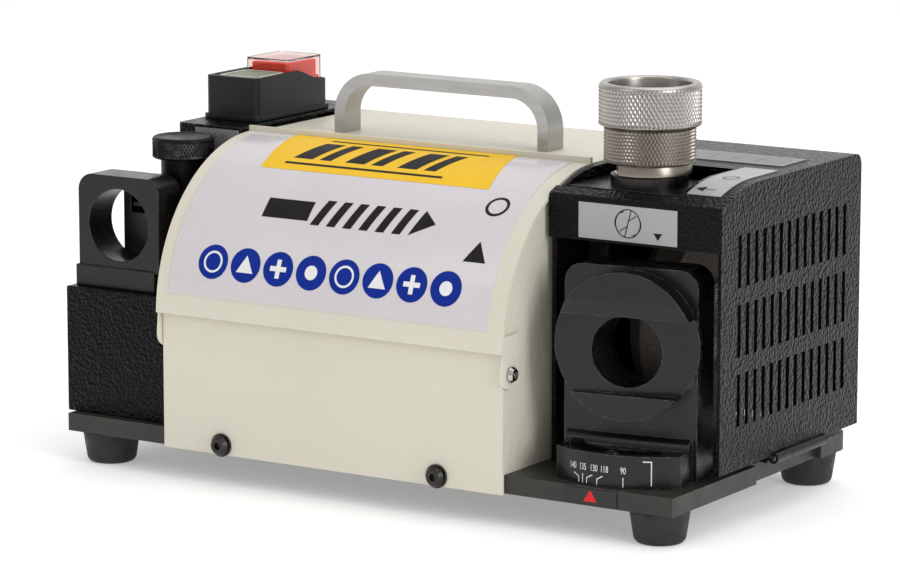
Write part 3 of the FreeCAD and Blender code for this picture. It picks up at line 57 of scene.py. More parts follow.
class Shader:
    """A Principled material with short ways to add texture nodes."""

    def __init__(self, name, color, roughness, metallic=0.0, **sockets):
        self.material = bpy.data.materials.new(name)
        self.material.use_nodes = True
        self.nodes = self.material.node_tree.nodes
        self.links = self.material.node_tree.links
        self.surface = self.nodes["Principled BSDF"]
        self.color = color
        self.roughness = roughness
        self.set("Base Color", (*color, 1.0))
        self.set("Roughness", roughness)
        self.set("Metallic", metallic)
        for socket, value in sockets.items():
            self.set(socket.replace("_", " "), value)
        self.place = self.nodes.new("ShaderNodeTexCoord").outputs["Object"]

    def set(self, socket, value):
        self.surface.inputs[socket].default_value = value

    def stretched(self, scale):
        """Object coordinates with a scale of its own along each axis."""
        mapping = self.nodes.new("ShaderNodeMapping")
        mapping.inputs["Scale"].default_value = scale
        self.links.new(self.place, mapping.inputs["Vector"])
        return mapping.outputs["Vector"]

    def noise(self, per_metre, detail=3.0, roughness=0.5, stretch=None):
        texture = self.nodes.new("ShaderNodeTexNoise")
        texture.inputs["Scale"].default_value = per_metre
        texture.inputs["Detail"].default_value = detail
        texture.inputs["Roughness"].default_value = roughness
        self.links.new(self.stretched(stretch) if stretch else self.place, texture.inputs["Vector"])
        return texture.outputs["Fac"]

    def cells(self, per_metre, feature="F1", smoothness=None):
        texture = self.nodes.new("ShaderNodeTexVoronoi")
        texture.feature = feature
        texture.inputs["Scale"].default_value = per_metre
        if smoothness is not None:
            texture.inputs["Smoothness"].default_value = smoothness
        self.links.new(self.place, texture.inputs["Vector"])
        return texture.outputs["Distance"]

    def remap(self, value, low, high, to_low, to_high):
        node = self.nodes.new("ShaderNodeMapRange")
        ends = {"From Min": low, "From Max": high, "To Min": to_low, "To Max": to_high}
        for socket, number in ends.items():
            node.inputs[socket].default_value = number
        self.links.new(value, node.inputs["Value"])
        return node.outputs["Result"]

    def math(self, operation, first, second):
        node = self.nodes.new("ShaderNodeMath")
        node.operation = operation
        for socket, value in zip(node.inputs, (first, second)):
            if isinstance(value, (int, float)):
                socket.default_value = value
            else:
                self.links.new(value, socket)
        return node.outputs["Value"]

    def mix_color(self, factor, first, second):
        """Blend two colours; a colour is three numbers or a colour output."""
        node = self.nodes.new("ShaderNodeMix")
        node.data_type = "RGBA"
        self.links.new(factor, node.inputs["Factor"])
        for name, value in (("A", first), ("B", second)):
            socket = next(s for s in node.inputs if s.name == name and s.type == "RGBA")
            if isinstance(value, tuple):
                socket.default_value = (*value, 1.0)
            else:
                self.links.new(value, socket)
        return next(s for s in node.outputs if s.type == "RGBA")

    def paint(self, color_output):
        self.links.new(color_output, self.surface.inputs["Base Color"])

    def mottle(self, per_metre, amount):
        """Slow drift of the colour to a darker and a lighter tone."""
        darker = tuple(c * (1 - amount) for c in self.color)
        lighter = tuple(min(1.0, c * (1 + amount)) for c in self.color)
        factor = self.remap(self.noise(per_metre, 4.0), 0.3, 0.7, 0.0, 1.0)
        return self.mix_color(factor, darker, lighter)

    def rubbed_and_highlit_edges(self, under, tint, reach_mm=0.45, share=0.8):
        """Rubbed edges and painted edge highlight: a lighter tint where the surface turns a corner, broken
        up by noise.
        """
        rounded = self.nodes.new("ShaderNodeBevel")
        rounded.samples = 4
        rounded.inputs["Radius"].default_value = reach_mm * MM
        turned = self.nodes.new("ShaderNodeVectorMath")
        turned.operation = "DOT_PRODUCT"
        self.links.new(rounded.outputs["Normal"], turned.inputs[0])
        self.links.new(self.nodes.new("ShaderNodeNewGeometry").outputs["True Normal"], turned.inputs[1])
        edge = self.remap(turned.outputs["Value"], 0.99, 0.86, 0.0, share)
        broken = self.remap(self.noise(240.0, 5.0, 0.65), 0.40, 0.60, 0.0, 1.0)
        return self.mix_color(self.math("MULTIPLY", edge, broken), under, tint)

    def rough(self, per_metre, spread, detail=4.0, stretch=None):
        """Roughness that wanders about its middle value."""
        value = self.remap(self.noise(per_metre, detail, 0.6, stretch), 0.3, 0.7,
                           max(0.02, self.roughness - spread), min(1.0, self.roughness + spread))
        self.links.new(value, self.surface.inputs["Roughness"])

    def bump(self, height, depth_mm):
        """Relief of a given depth; calls stack up."""
        node = self.nodes.new("ShaderNodeBump")
        node.inputs["Distance"].default_value = depth_mm * MM
        node.inputs["Strength"].default_value = 1.0
        self.links.new(height, node.inputs["Height"])
        before = self.surface.inputs["Normal"]
        if before.links:
            self.links.new(before.links[0].from_socket, node.inputs["Normal"])
        self.links.new(node.outputs["Normal"], before)


def cream_paint(name, peel_depth, peel_size=420.0):
    shader = Shader(name, (0.70, 0.665, 0.555), 0.42, Specular_IOR_Level=0.35)
    shader.paint(shader.mottle(14.0, 0.02))
    shader.rough(60.0, 0.06)
    shader.bump(shader.cells(peel_size, "SMOOTH_F1", 0.7), peel_depth)
    shader.bump(shader.noise(1400.0, 2.0), peel_depth * 0.3)
    return shader.material


def wrinkle_paint():
    shader = Shader("black_wrinkle_paint", (0.003, 0.003, 0.0031), 0.22, Specular_IOR_Level=0.13)
    # lighter corners: rubbed paint and painted edge highlight
    shader.paint(shader.rubbed_and_highlit_edges(shader.mottle(40.0, 0.15), (0.09, 0.09, 0.09), 0.4, 0.5))
    shader.rough(300.0, 0.08)
    shader.bump(shader.cells(620.0, "SMOOTH_F1", 0.3), 0.55)
    shader.bump(shader.noise(1500.0, 3.0, 0.6), 0.16)
    return shader.material


def machine_enamel():
    shader = Shader("black_gloss_enamel", (0.0045, 0.0043, 0.0043), 0.27, Specular_IOR_Level=0.40)
    # lighter corners: rubbed enamel and painted edge highlight
    shader.paint(shader.rubbed_and_highlit_edges(shader.mottle(60.0, 0.2), (0.22, 0.215, 0.21), 0.4, 0.9))
    shader.rough(90.0, 0.07, 6.0)
    shader.bump(shader.noise(1300.0, 4.0, 0.6), 0.05)
    return shader.material


def plate_paint():
    shader = Shader("plate_paint", (0.030, 0.028, 0.024), 0.46, Specular_IOR_Level=0.4)
    base = shader.mottle(30.0, 0.14)
    smudge = shader.remap(shader.noise(420.0, 6.0, 0.7, (1.0, 0.25, 1.0)), 0.62, 0.74, 0.0, 0.35)
    smudged = shader.mix_color(smudge, base, (0.06, 0.056, 0.05))
    # lighter corners: rubbed paint and painted edge highlight
    shader.paint(shader.rubbed_and_highlit_edges(smudged, (0.16, 0.15, 0.13), 0.5, 0.6))
    shader.rough(110.0, 0.09, 6.0)
    shader.bump(shader.noise(1500.0, 4.0, 0.6), 0.04)
    return shader.material


def foot_rubber():
    shader = Shader("foot_rubber", (0.016, 0.016, 0.0165), 0.6, Specular_IOR_Level=0.4)
    shader.paint(shader.mottle(120.0, 0.3))
    shader.rough(200.0, 0.12)
    shader.bump(shader.noise(1900.0, 4.0, 0.65), 0.06)
    return shader.material


def metal(name, color, roughness, grain=(1.0, 1.0, 1.0), per_metre=900.0, depth=0.02, mottle=0.08,
          edge=None):
    """Bare or coated metal with a fine directional grain."""
    shader = Shader(name, color, roughness, 1.0)
    tone = shader.mottle(70.0, mottle)
    # a given edge tint lightens corners: rubbed metal and painted edge highlight
    shader.paint(shader.rubbed_and_highlit_edges(tone, edge, 0.3, 0.7) if edge else tone)
    shader.rough(per_metre * 0.4, roughness * 0.22, 5.0, grain)
    shader.bump(shader.noise(per_metre, 4.0, 0.6, grain), depth)
    return shader.material


def moulded_plastic(name, color, roughness=0.4, grain=1700.0, depth=0.03, mottle=0.08, **sockets):
    shader = Shader(name, color, roughness, **sockets)
    shader.paint(shader.mottle(90.0, mottle))
    shader.rough(260.0, 0.07)
    shader.bump(shader.noise(grain, 3.0, 0.55), depth)
    return shader.material


def label_film(name, color, roughness=0.16, gloss=0.5, ripple=0.05):
    """Printed film under a clear glossy layer, lying not quite flat."""
    shader = Shader(name, color, roughness + 0.15, Coat_Weight=gloss, Coat_Roughness=roughness)
    shader.paint(shader.mottle(25.0, 0.02))
    shader.rough(160.0, 0.05)
    shader.bump(shader.noise(70.0, 2.0), ripple)
    return shader.material


def clear_plastic():
    shader = Shader("clear_plastic", (1.0, 0.80, 0.76), 0.05, Transmission_Weight=1.0, IOR=1.3)
    shader.rough(300.0, 0.03)
    shader.bump(shader.noise(500.0, 2.0), 0.01)
    return shader.material


def abrasive():
    shader = Shader("wheel_abrasive", (0.23, 0.19, 0.165), 0.6, 0.3)
    grit = shader.remap(shader.cells(2600.0), 0.1, 0.6, 0.0, 1.0)
    shader.paint(shader.mix_color(grit, (0.36, 0.31, 0.27), (0.10, 0.085, 0.075)))
    shader.rough(2000.0, 0.15)
    shader.bump(shader.cells(2600.0), 0.12)
    return shader.material


MATERIALS = {
    "cream_paint": cream_paint("cream_paint", 0.05),
    "cream_textured": cream_paint("cream_textured", 0.22, 300.0),
    "black_wrinkle_paint": wrinkle_paint(),
    "black_gloss_enamel": machine_enamel(),
    "plate_paint": plate_paint(),
    "foot_rubber": foot_rubber(),
    "black_oxide_steel": metal("black_oxide_steel", (0.05, 0.048, 0.045), 0.34, edge=(0.25, 0.24, 0.22)),
    "bright_steel": metal("bright_steel", (0.48, 0.46, 0.43), 0.24, (1.0, 1.0, 6.0)),
    "hinge_steel": metal("hinge_steel", (0.045, 0.044, 0.042), 0.38, edge=(0.3, 0.29, 0.27)),
    "satin_aluminium": metal("satin_aluminium", (0.47, 0.46, 0.44), 0.33, (0.06, 1.0, 1.0), 1500.0,
                             0.012, 0.03),
    "label_film": label_film("label_film", (0.66, 0.62, 0.64), 0.12, 0.5, 0.03),
    "scale_plate_metal": label_film("scale_plate_metal", (0.36, 0.36, 0.375), 0.22, 0.4, 0.5),
    "dull_plate_metal": label_film("dull_plate_metal", (0.22, 0.22, 0.225), 0.3, 0.3, 0.2),
    "pointer_film": label_film("pointer_film", (0.006, 0.006, 0.0062), 0.3, 0.1),
    "switch_plastic": moulded_plastic("switch_plastic", (0.005, 0.005, 0.0054), 0.36,
                                      Specular_IOR_Level=0.3),
    "knob_plastic": metal("knob_plastic", (0.016, 0.016, 0.0165), 0.42, edge=(0.12, 0.12, 0.12)),
    "green_plastic": moulded_plastic("green_plastic", (0.20, 0.245, 0.155), 0.45, depth=0.05,
                                     Specular_IOR_Level=0.3),
    "red_plastic": moulded_plastic("red_plastic", (0.85, 0.07, 0.045), 0.4),
    "clear_plastic": clear_plastic(),
    "chuck_metal": metal("chuck_metal", (0.30, 0.265, 0.23), 0.30, (1.0, 1.0, 5.0), 1100.0, 0.018, 0.06),
    "ring_metal": metal("ring_metal", (0.44, 0.415, 0.39), 0.30, (1.0, 1.0, 5.0), 1100.0, 0.018, 0.06),
    "wheel_abrasive": abrasive(),
    "motor_aluminium": metal("motor_aluminium", (0.52, 0.52, 0.52), 0.42, per_metre=500.0, depth=0.05),
    "motor_core": metal("motor_core", (0.30, 0.25, 0.21), 0.45, (40.0, 1.0, 1.0), 60.0, 0.05),
    "fan_plastic": moulded_plastic("fan_plastic", (0.62, 0.60, 0.54), 0.45),
    "rack_steel": metal("rack_steel", (0.26, 0.26, 0.27), 0.45),
    "brush_plastic": moulded_plastic("brush_plastic", (0.03, 0.03, 0.03), 0.4),
    "print_black": moulded_plastic("print_black", (0.012, 0.010, 0.010), 0.45, mottle=0.15,
                                   Specular_IOR_Level=0.15),
    "print_yellow": moulded_plastic("print_yellow", (0.88, 0.53, 0.001), 0.42, depth=0.01, mottle=0.02,
                                    Specular_IOR_Level=0.3),
    "print_blue": moulded_plastic("print_blue", (0.001, 0.022, 0.27), 0.45, depth=0.01, mottle=0.04,
                                  Specular_IOR_Level=0.15),
    "print_white": moulded_plastic("print_white", (0.82, 0.82, 0.82), 0.4, depth=0.01, mottle=0.02),
    "print_red": moulded_plastic("print_red", (0.75, 0.012, 0.01), 0.4, depth=0.01, mottle=0.04,
                                 Specular_IOR_Level=0.3),
}


# ---------------------------------------------------------------- making pieces

def finish_piece(name, mesh, material, body, stands_for=()):
    """Link a mesh as a piece of the object that rides on a body."""
    piece = bpy.data.objects.new(name, mesh)
    bpy.context.scene.collection.objects.link(piece)
    mesh.materials.clear()
    mesh.materials.append(MATERIALS[material])
    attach(piece, body)
    if stands_for:
        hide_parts(*stands_for)
    return piece


def mesh_from(name, work, smooth_angle=35.0):
    """Turn a bmesh into a mesh with clean outward normals and sharp creases."""
    bmesh.ops.recalc_face_normals(work, faces=work.faces)
    for face in work.faces:
        face.smooth = True
    for edge in work.edges:
        sharp = len(edge.link_faces) == 2 and edge.calc_face_angle(0.0) > math.radians(smooth_angle)
        edge.smooth = not sharp
    mesh = bpy.data.meshes.new(name)
    work.to_mesh(mesh)
    work.free()
    return mesh


# Slotted nodes keep their flat faces divided, because one outline can't hold a whole row of slots.
PIERCED = ("motor_housing",)
MERGE_DISTANCE = 2e-6
EDGE_ANGLE = 32.0
EDGE_SEGMENTS = 3


def refined(node, width_mm, material=None):
    """A copy of a CAD node with its hard edges rounded, standing in for it."""
    work = bmesh.new()
    work.from_mesh(NODES[node].data)
    bmesh.ops.remove_doubles(work, verts=work.verts, dist=MERGE_DISTANCE)
    if node not in PIERCED:
        bmesh.ops.dissolve_limit(work, angle_limit=math.radians(0.4), verts=work.verts, edges=work.edges)
    mesh = mesh_from(f"{node}_look", work, EDGE_ANGLE)
    slot = NODE_SLOT[node]
    piece = finish_piece(f"{node}_look", mesh, material or slot, NODE_BODY[node], [node])
    bevel = piece.modifiers.new("edge_rounding", "BEVEL")
    bevel.width = width_mm * MM
    bevel.segments = EDGE_SEGMENTS
    bevel.limit_method = "ANGLE"
    bevel.angle_limit = math.radians(EDGE_ANGLE)
    bevel.miter_outer = "MITER_ARC"
    bevel.use_clamp_overlap = True
    bevel.harden_normals = True
    return piece


def ring_of(work, radius, z, segments, centre):
    """One ring of vertices about an upright axis; a list of radii gives each its own."""
    radii = radius if isinstance(radius, list) else [radius] * segments
    return [
        work.verts.new((centre.x + r * math.cos(2 * math.pi * k / segments),
                        centre.y + r * math.sin(2 * math.pi * k / segments), z))
        for k, r in enumerate(radii)
    ]


def skin(work, rings, closed=False):
    """Quads between rings that follow one another."""
    pairs = list(zip(rings, rings[1:] + rings[:1] if closed else rings[1:]))
    for low, high in pairs:
        for k in range(len(low)):
            after = (k + 1) % len(low)
            work.faces.new((low[k], low[after], high[after], high[k]))


PER_TOOTH = 6
KNURL_STRETCH = 1.75


def knurl_radii(radius, depth, teeth, row):
    """Radii round one ring of a diamond knurl; a row is one step of a tooth along the axis."""
    radii = []
    for k in range(teeth * PER_TOOTH):
        ridges = []
        for turn in (1, -1):
            phase = ((k + turn * row) / PER_TOOTH) % 1.0
            ridges.append(abs(phase - 0.5) * 2)
        radii.append(radius - depth * (1 - min(ridges)))
    return radii


def lathe(name, profile, centre, segments, knurls=()):
    """Closed turned shape; profile points are (radius, z), knurls are (first point, depth, teeth)."""
    work = bmesh.new()
    rings = []
    knurled_from = {first: (depth, teeth) for first, depth, teeth in knurls}
    for index, (radius, z) in enumerate(profile):
        rings.append(ring_of(work, radius, z, segments, centre))
        if index not in knurled_from:
            continue
        depth, teeth = knurled_from[index]
        end_radius, end_z = profile[index + 1]
        step = 2 * math.pi * radius / teeth / PER_TOOTH * KNURL_STRETCH
        rows = max(2, round(abs(end_z - z) / step))
        for row in range(1, rows):
            share = row / rows
            radii = knurl_radii(radius + (end_radius - radius) * share, depth, teeth, row)
            rings.append(ring_of(work, radii, z + (end_z - z) * share, segments, centre))
    skin(work, rings, closed=True)
    return mesh_from(name, work, 50.0)


# ---------------------------------------------------------------- prints on the plates

class Flat:
    """A flat face to print on: an origin, an across and an up direction, and a lift off the face."""

    def __init__(self, origin, across, up, lift=0.05):
        self.origin = Vector(origin)
        self.across = Vector(across).normalized()
        self.up = Vector(up).normalized()
        self.lift = self.across.cross(self.up) * lift

    def at(self, x, y):
        return (self.origin + self.across * x + self.up * y + self.lift) * MM


class Drum:
    """A round face about a level or upright axis; x runs along the axis or round it."""

    def __init__(self, centre, radius, axis, lift=0.05):
        self.centre = Vector(centre)
        self.radius = radius
        self.axis = axis
        self.lift = lift

    def at(self, x, y):
        out = self.radius + self.lift
        if self.axis == "X":
            angle = y / self.radius
            return (self.centre + Vector((x, -out * math.cos(angle), out * math.sin(angle)))) * MM
        angle = x / self.radius
        return (self.centre + Vector((out * math.sin(angle), -out * math.cos(angle), y))) * MM


def print_patch(work, face, corners, columns=6, rows=6):
    """A four-sided patch of print, laid on the face's curve."""
    (ax, ay), (bx, by), (cx, cy), (dx, dy) = corners
    grid = []
    for j in range(rows + 1):
        v = j / rows
        line = []
        for i in range(columns + 1):
            u = i / columns
            x = (ax * (1 - u) + bx * u) * (1 - v) + (dx * (1 - u) + cx * u) * v
            y = (ay * (1 - u) + by * u) * (1 - v) + (dy * (1 - u) + cy * u) * v
            line.append(work.verts.new(face.at(x, y)))
        grid.append(line)
    for low, high in zip(grid, grid[1:]):
        for i in range(columns):
            work.faces.new((low[i], low[i + 1], high[i + 1], high[i]))


def print_disc(work, face, x, y, outer, inner=0.0, segments=40, rings=4, start=0.0, sweep=360.0):
    """A round patch, a ring, or a part of one."""
    whole = abs(sweep - 360.0) < 1e-6
    count = segments if whole else segments + 1
    lines = []
    for r in range(rings + 1):
        radius = inner + (outer - inner) * r / rings
        if radius < 1e-6:
            lines.append([work.verts.new(face.at(x, y))] * count)
            continue
        lines.append([
            work.verts.new(face.at(x + radius * math.cos(math.radians(start + sweep * k / segments)),
                                   y + radius * math.sin(math.radians(start + sweep * k / segments))))
            for k in range(count)
        ])
    for low, high in zip(lines, lines[1:]):
        for k in range(segments):
            after = (k + 1) % count
            corner = [low[k], high[k], high[after]]
            if low[k] is not low[after]:
                corner.append(low[after])
            work.faces.new(corner)


DIGIT_HEIGHT = 0.69
DIGIT_SQUEEZE = 0.62


def print_number(work, face, text, x, y, height):
    """A number centred over x, its foot on y."""
    curve = bpy.data.curves.new(f"number_{text}", "FONT")
    curve.body = text
    curve.align_x = "CENTER"
    curve.size = 1.0
    holder = bpy.data.objects.new(curve.name, curve)
    bpy.context.scene.collection.objects.link(holder)
    outline = holder.to_mesh()
    scale = height / DIGIT_HEIGHT
    places = [
        work.verts.new(face.at(x + v.co.x * scale * DIGIT_SQUEEZE, y + v.co.y * scale))
        for v in outline.vertices
    ]
    for polygon in outline.polygons:
        work.faces.new([places[i] for i in polygon.vertices])
    holder.to_mesh_clear()
    bpy.data.objects.remove(holder)
    bpy.data.curves.remove(curve)


def print_line(work, face, points, width):
    """A line of a given width through points."""
    for (ax, ay), (bx, by) in zip(points, points[1:]):
        away = Vector((ay - by, bx - ax)).normalized() * width / 2
        along = Vector((bx - ax, by - ay)).normalized() * width / 2
        print_patch(work, face, [
            (ax - along.x - away.x, ay - along.y - away.y), (bx + along.x - away.x, by + along.y - away.y),
            (bx + along.x + away.x, by + along.y + away.y), (ax - along.x + away.x, ay - along.y + away.y),
        ], 4, 1)


def print_piece(name, material, body, draw):
    """One object that holds all prints of one colour on one plate."""
    work = bmesh.new()
    draw(work)
    mesh = bpy.data.meshes.new(name)
    work.to_mesh(mesh)
    work.free()
    return finish_piece(name, mesh, material, body)


def bar(x0, y0, x1, y1, lean=0.0):
    """Corners of a bar, its top pushed sideways by lean."""
    return [(x0, y0), (x1, y0), (x1 + lean, y1), (x0 + lean, y1)]


# ---------------------------------------------------------------- pieces that stand for CAD nodes

EDGE_WIDTHS = {
    "base_plate": 0.6, "rubber_feet": 0.9, "motor_housing": 0.7, "front_panel": 0.35, "curved_lid": 0.45,
    "carry_handle": 1.3, "wheel_guard_plate": 0.5, "gauge_base_box": 0.7,
    "control_box": 0.9, "setting_block": 0.6, "gauge_housing": 0.5, "swivel_holder": 0.45,
    "switch_housing": 0.5, "start_button": 0.8, "stop_button": 0.8, "stop_button_cover": 0.5,
    "panel_screws": 0.25, "panel_washers": 0.12, "lid_pivot_screws": 0.25, "foot_screws": 0.2,
    "handle_screws": 0.2, "cradle_screws": 0.2, "swivel_lock_screw": 0.3, "swivel_pivot_pin": 0.3,
    "hinge_leaf_fixed": 0.2, "hinge_leaf_moving": 0.2, "hinge_pin": 0.2, "station_sleeve": 0.3,
    "top_station_bracket": 0.5, "wheel_nut": 0.3, "wheel_flanges": 0.4, "grinding_wheel": 0.4,
    "motor_end_bell_left": 0.5, "motor_end_bell_right": 0.5, "brush_caps": 0.3, "cable_gland": 0.3,
    "spare_collets": 0.2, "chuck_collet": 0.2, "collet_rack": 0.25, "drill_stop_slide": 0.3,
    "header_plate": 0.1, "web_scale_plate": 0.1, "relief_scale_plate": 0.1, "gauge_scale_plate": 0.1,
    "pointer_plate": 0.1,
}
LOOK_MATERIALS = {
    "drill_stop_slide": "black_oxide_steel",
    "curved_lid": "cream_paint", "motor_housing": "cream_textured", "front_panel": "cream_paint",
    "gauge_scale_plate": "dull_plate_metal", "web_scale_plate": "dull_plate_metal",
}
looks = {
    node: refined(node, width, LOOK_MATERIALS.get(node))
    for node, width in EDGE_WIDTHS.items()
}
for node, shape in NODES.items():
    if node in looks or node == "right_cover":
        continue
    for material_slot in shape.material_slots:
        material_slot.material = MATERIALS[NODE_SLOT[node]]


# ---------------------------------------------------------------- sheet steel cover

COVER_LEFT, COVER_RIGHT = 76.7, 160.0
COVER_FRONT, COVER_BACK = -47.2, 78.0
COVER_LOW, COVER_ROOF = 26.1, 146.5
COVER_SHEET = 1.6
HEADER_LOW = 120.0
CROWN_Y, CROWN_Z, CROWN_R = -12.0, 66.5, 80.0
NOSE_R, HEEL_R = 2.0, 5.0
COVER_EDGE = 0.55
COVER_EDGE_ANGLE = 40.0
# Right, front and back end of the opening that the chuck stands in.
OPENING = (136.0, -41.0, 7.8)
SLOT_COUNT, SLOT_FIRST, SLOT_PITCH, SLOT_HALF = 14, -31.5, 7.25, 1.55
SLOT_EDGES = [
    SLOT_FIRST + SLOT_PITCH * i + side
    for i in range(SLOT_COUNT)
    for side in (-SLOT_HALF, SLOT_HALF)
]
SLOT_ROWS = ((44.5, 66.9), (74.0, 96.4), (103.5, 125.9))
# Front and back end and top of the notch round the hinge.
HINGE_NOTCH = (0.0, 46.8, 27.7)
CROWN_FIRST, CROWN_STEP, CROWN_STEPS = -44.0, 1.5, 20
CORNER_STEPS = 8


def cover_top(y):
    """Height of the cover's outside over a depth y: rounded nose, crown, flat roof, rounded heel."""
    if y > COVER_BACK - HEEL_R:
        return COVER_ROOF - HEEL_R + math.sqrt(max(0.0, HEEL_R ** 2 - (y - COVER_BACK + HEEL_R) ** 2))
    if y > CROWN_Y:
        return COVER_ROOF
    nose_end = COVER_FRONT + NOSE_R
    if y >= nose_end:
        return CROWN_Z + math.sqrt(CROWN_R ** 2 - (y - CROWN_Y) ** 2)
    shoulder = CROWN_Z + math.sqrt(CROWN_R ** 2 - (nose_end - CROWN_Y) ** 2)
    return shoulder - NOSE_R + math.sqrt(max(0.0, NOSE_R ** 2 - (y - nose_end) ** 2))


def cover_depths():
    """Places along the depth where the cover's mesh is divided."""
    depths = set(SLOT_EDGES) | {OPENING[1], OPENING[2], HINGE_NOTCH[0], HINGE_NOTCH[1], CROWN_Y}
    depths.add(COVER_BACK - COVER_SHEET)
    for step in range(CORNER_STEPS + 1):
        share = 1 - math.cos(math.radians(90.0 * step / CORNER_STEPS))
        depths.add(round(COVER_FRONT + NOSE_R * share, 4))
        depths.add(round(COVER_BACK - HEEL_R * share, 4))
    depths |= {CROWN_FIRST + CROWN_STEP * i for i in range(CROWN_STEPS)}
    ordered = sorted(depths)
    return [y for i, y in enumerate(ordered) if i == 0 or y - ordered[i - 1] > 0.05]


def cover_levels():
    """Heights where the side wall's mesh is divided, up to the top of the slots."""
    levels = [COVER_LOW, HINGE_NOTCH[2], HEADER_LOW]
    for low, high in SLOT_ROWS:
        levels += [low, high]
    return sorted(levels)


def cover_mesh():
    """Outside of the bent sheet: slotted right wall, header, crown, roof and back."""
    work = bmesh.new()
    points = {}

    def point(x, y, z):
        key = (round(x, 3), round(y, 3), round(z, 3))
        if key not in points:
            points[key] = work.verts.new(Vector(key) * MM)
        return points[key]

    depths = cover_depths()
    levels = cover_levels()
    slots = [(SLOT_EDGES[i], SLOT_EDGES[i + 1]) for i in range(0, len(SLOT_EDGES), 2)]
    for near, far in zip(depths, depths[1:]):
        middle = (near + far) / 2
        in_slot = any(low < middle < high for low, high in slots)
        in_notch = HINGE_NOTCH[0] < middle < HINGE_NOTCH[1]
        for low, high in zip(levels, levels[1:]):
            open_here = in_slot and any(a <= low and high <= b for a, b in SLOT_ROWS)
            if open_here or (in_notch and high <= HINGE_NOTCH[2]):
                continue
            work.faces.new((point(COVER_RIGHT, near, low), point(COVER_RIGHT, far, low),
                            point(COVER_RIGHT, far, high), point(COVER_RIGHT, near, high)))
        work.faces.new((point(COVER_RIGHT, near, levels[-1]), point(COVER_RIGHT, far, levels[-1]),
                        point(COVER_RIGHT, far, cover_top(far)), point(COVER_RIGHT, near, cover_top(near))))
    front = [(COVER_FRONT, z) for z in (HEADER_LOW, SLOT_ROWS[2][1])]
    back = [(COVER_BACK, z) for z in reversed(levels)]
    profile = front + [(y, cover_top(y)) for y in depths] + back
    columns = [COVER_LEFT, OPENING[0], COVER_RIGHT]
    for (y0, z0), (y1, z1) in zip(profile, profile[1:]):
        on_top = min(z0, z1) > SLOT_ROWS[2][1]
        in_opening = on_top and OPENING[1] <= min(y0, y1) and max(y0, y1) <= OPENING[2]
        for x0, x1 in zip(columns, columns[1:]):
            if in_opening and x1 <= OPENING[0]:
                continue
            work.faces.new((point(x0, y0, z0), point(x1, y0, z0), point(x1, y1, z1), point(x0, y1, z1)))
    return mesh_from("right_cover_look", work, 20.0)


cover = finish_piece("right_cover_look", cover_mesh(), "black_wrinkle_paint", "wheel_cover",
                     ["right_cover"])
thickness = cover.modifiers.new("sheet", "SOLIDIFY")
thickness.thickness = COVER_SHEET * MM
thickness.offset = -1.0
thickness.use_even_offset = True
rounding = cover.modifiers.new("edge_rounding", "BEVEL")
rounding.width = COVER_EDGE * MM
rounding.segments = 3
rounding.limit_method = "ANGLE"
rounding.angle_limit = math.radians(COVER_EDGE_ANGLE)
rounding.harden_normals = True


# ---------------------------------------------------------------- collet chuck and adjusting knob

CHUCK_AXIS = Vector((108.5, -17.5)) * MM
KNOB_AXIS = Vector((-122.6, -35.0)) * MM
CHUCK_TEETH = 74
KNOB_TEETH = 56
CHUCK_KNURL = 0.95
KNOB_KNURL = 0.5


def in_metres(profile):
    """Radii and heights of a turned outline, from millimetres."""
    return [(radius * MM, z * MM) for radius, z in profile]


CHUCK_PROFILE = [
    (10.9, 120.0), (14.6, 120.0), (15.0, 120.4), (15.0, 146.0), (17.5, 146.1), (18.0, 146.5),
    (18.0, 150.6), (17.7, 151.0), (19.2, 151.1), (19.7, 151.6), (19.7, 165.9), (19.2, 166.4),
    (15.0, 166.4), (15.0, 173.0), (10.9, 173.0),
]
CHUCK_GRIP = CHUCK_PROFILE.index((19.7, 151.6))
BAND_FLAT = 13.8
BAND_LEVELS = (146.05, 151.05)
BAND_TURN = math.radians(32.6)


def chuck_mesh():
    """The chuck's body, with a flat milled on its index band."""
    mesh = lathe("chuck_body_look", in_metres(CHUCK_PROFILE), CHUCK_AXIS, CHUCK_TEETH * PER_TOOTH,
                 [(CHUCK_GRIP, CHUCK_KNURL * MM, CHUCK_TEETH)])
    side = Vector((math.cos(BAND_TURN), math.sin(BAND_TURN)))
    for vertex in mesh.vertices:
        if not BAND_LEVELS[0] * MM < vertex.co.z < BAND_LEVELS[1] * MM:
            continue
        beyond = -BAND_FLAT * MM - (vertex.co.xy - CHUCK_AXIS).dot(side)
        if beyond > 0:
            vertex.co.xy += side * beyond
    return mesh


finish_piece("chuck_body_look", chuck_mesh(), "chuck_metal", "chuck", ["chuck_body"])

RING_PROFILE = [
    (15.06, 166.7), (21.2, 166.7), (21.75, 167.0), (22.0, 167.6), (22.0, 183.0), (21.7, 184.0),
    (20.8, 184.8), (18.6, 184.8), (17.9, 184.3), (17.8, 183.7), (17.8, 170.0), (15.06, 170.0),
]
RING_GRIP = RING_PROFILE.index((22.0, 167.6))
finish_piece(
    "chuck_draw_ring_look",
    lathe("chuck_draw_ring_look", in_metres(RING_PROFILE), CHUCK_AXIS, CHUCK_TEETH * PER_TOOTH,
          [(RING_GRIP, CHUCK_KNURL * MM, CHUCK_TEETH)]),
    "ring_metal", "draw_ring", ["chuck_draw_ring"])

KNOB_PROFILE = [
    (0.0, 89.5), (3.98, 89.5), (3.98, 121.8), (10.1, 121.8), (10.1, 135.9), (13.2, 135.9), (13.8, 136.2),
    (14.0, 136.8), (14.0, 144.3), (13.7, 144.9), (13.0, 145.5), (11.6, 145.5), (11.2, 145.1),
    (0.0, 145.1),
]
KNOB_GRIP = KNOB_PROFILE.index((14.0, 136.8))
AXIS_RADIUS = 1e-7


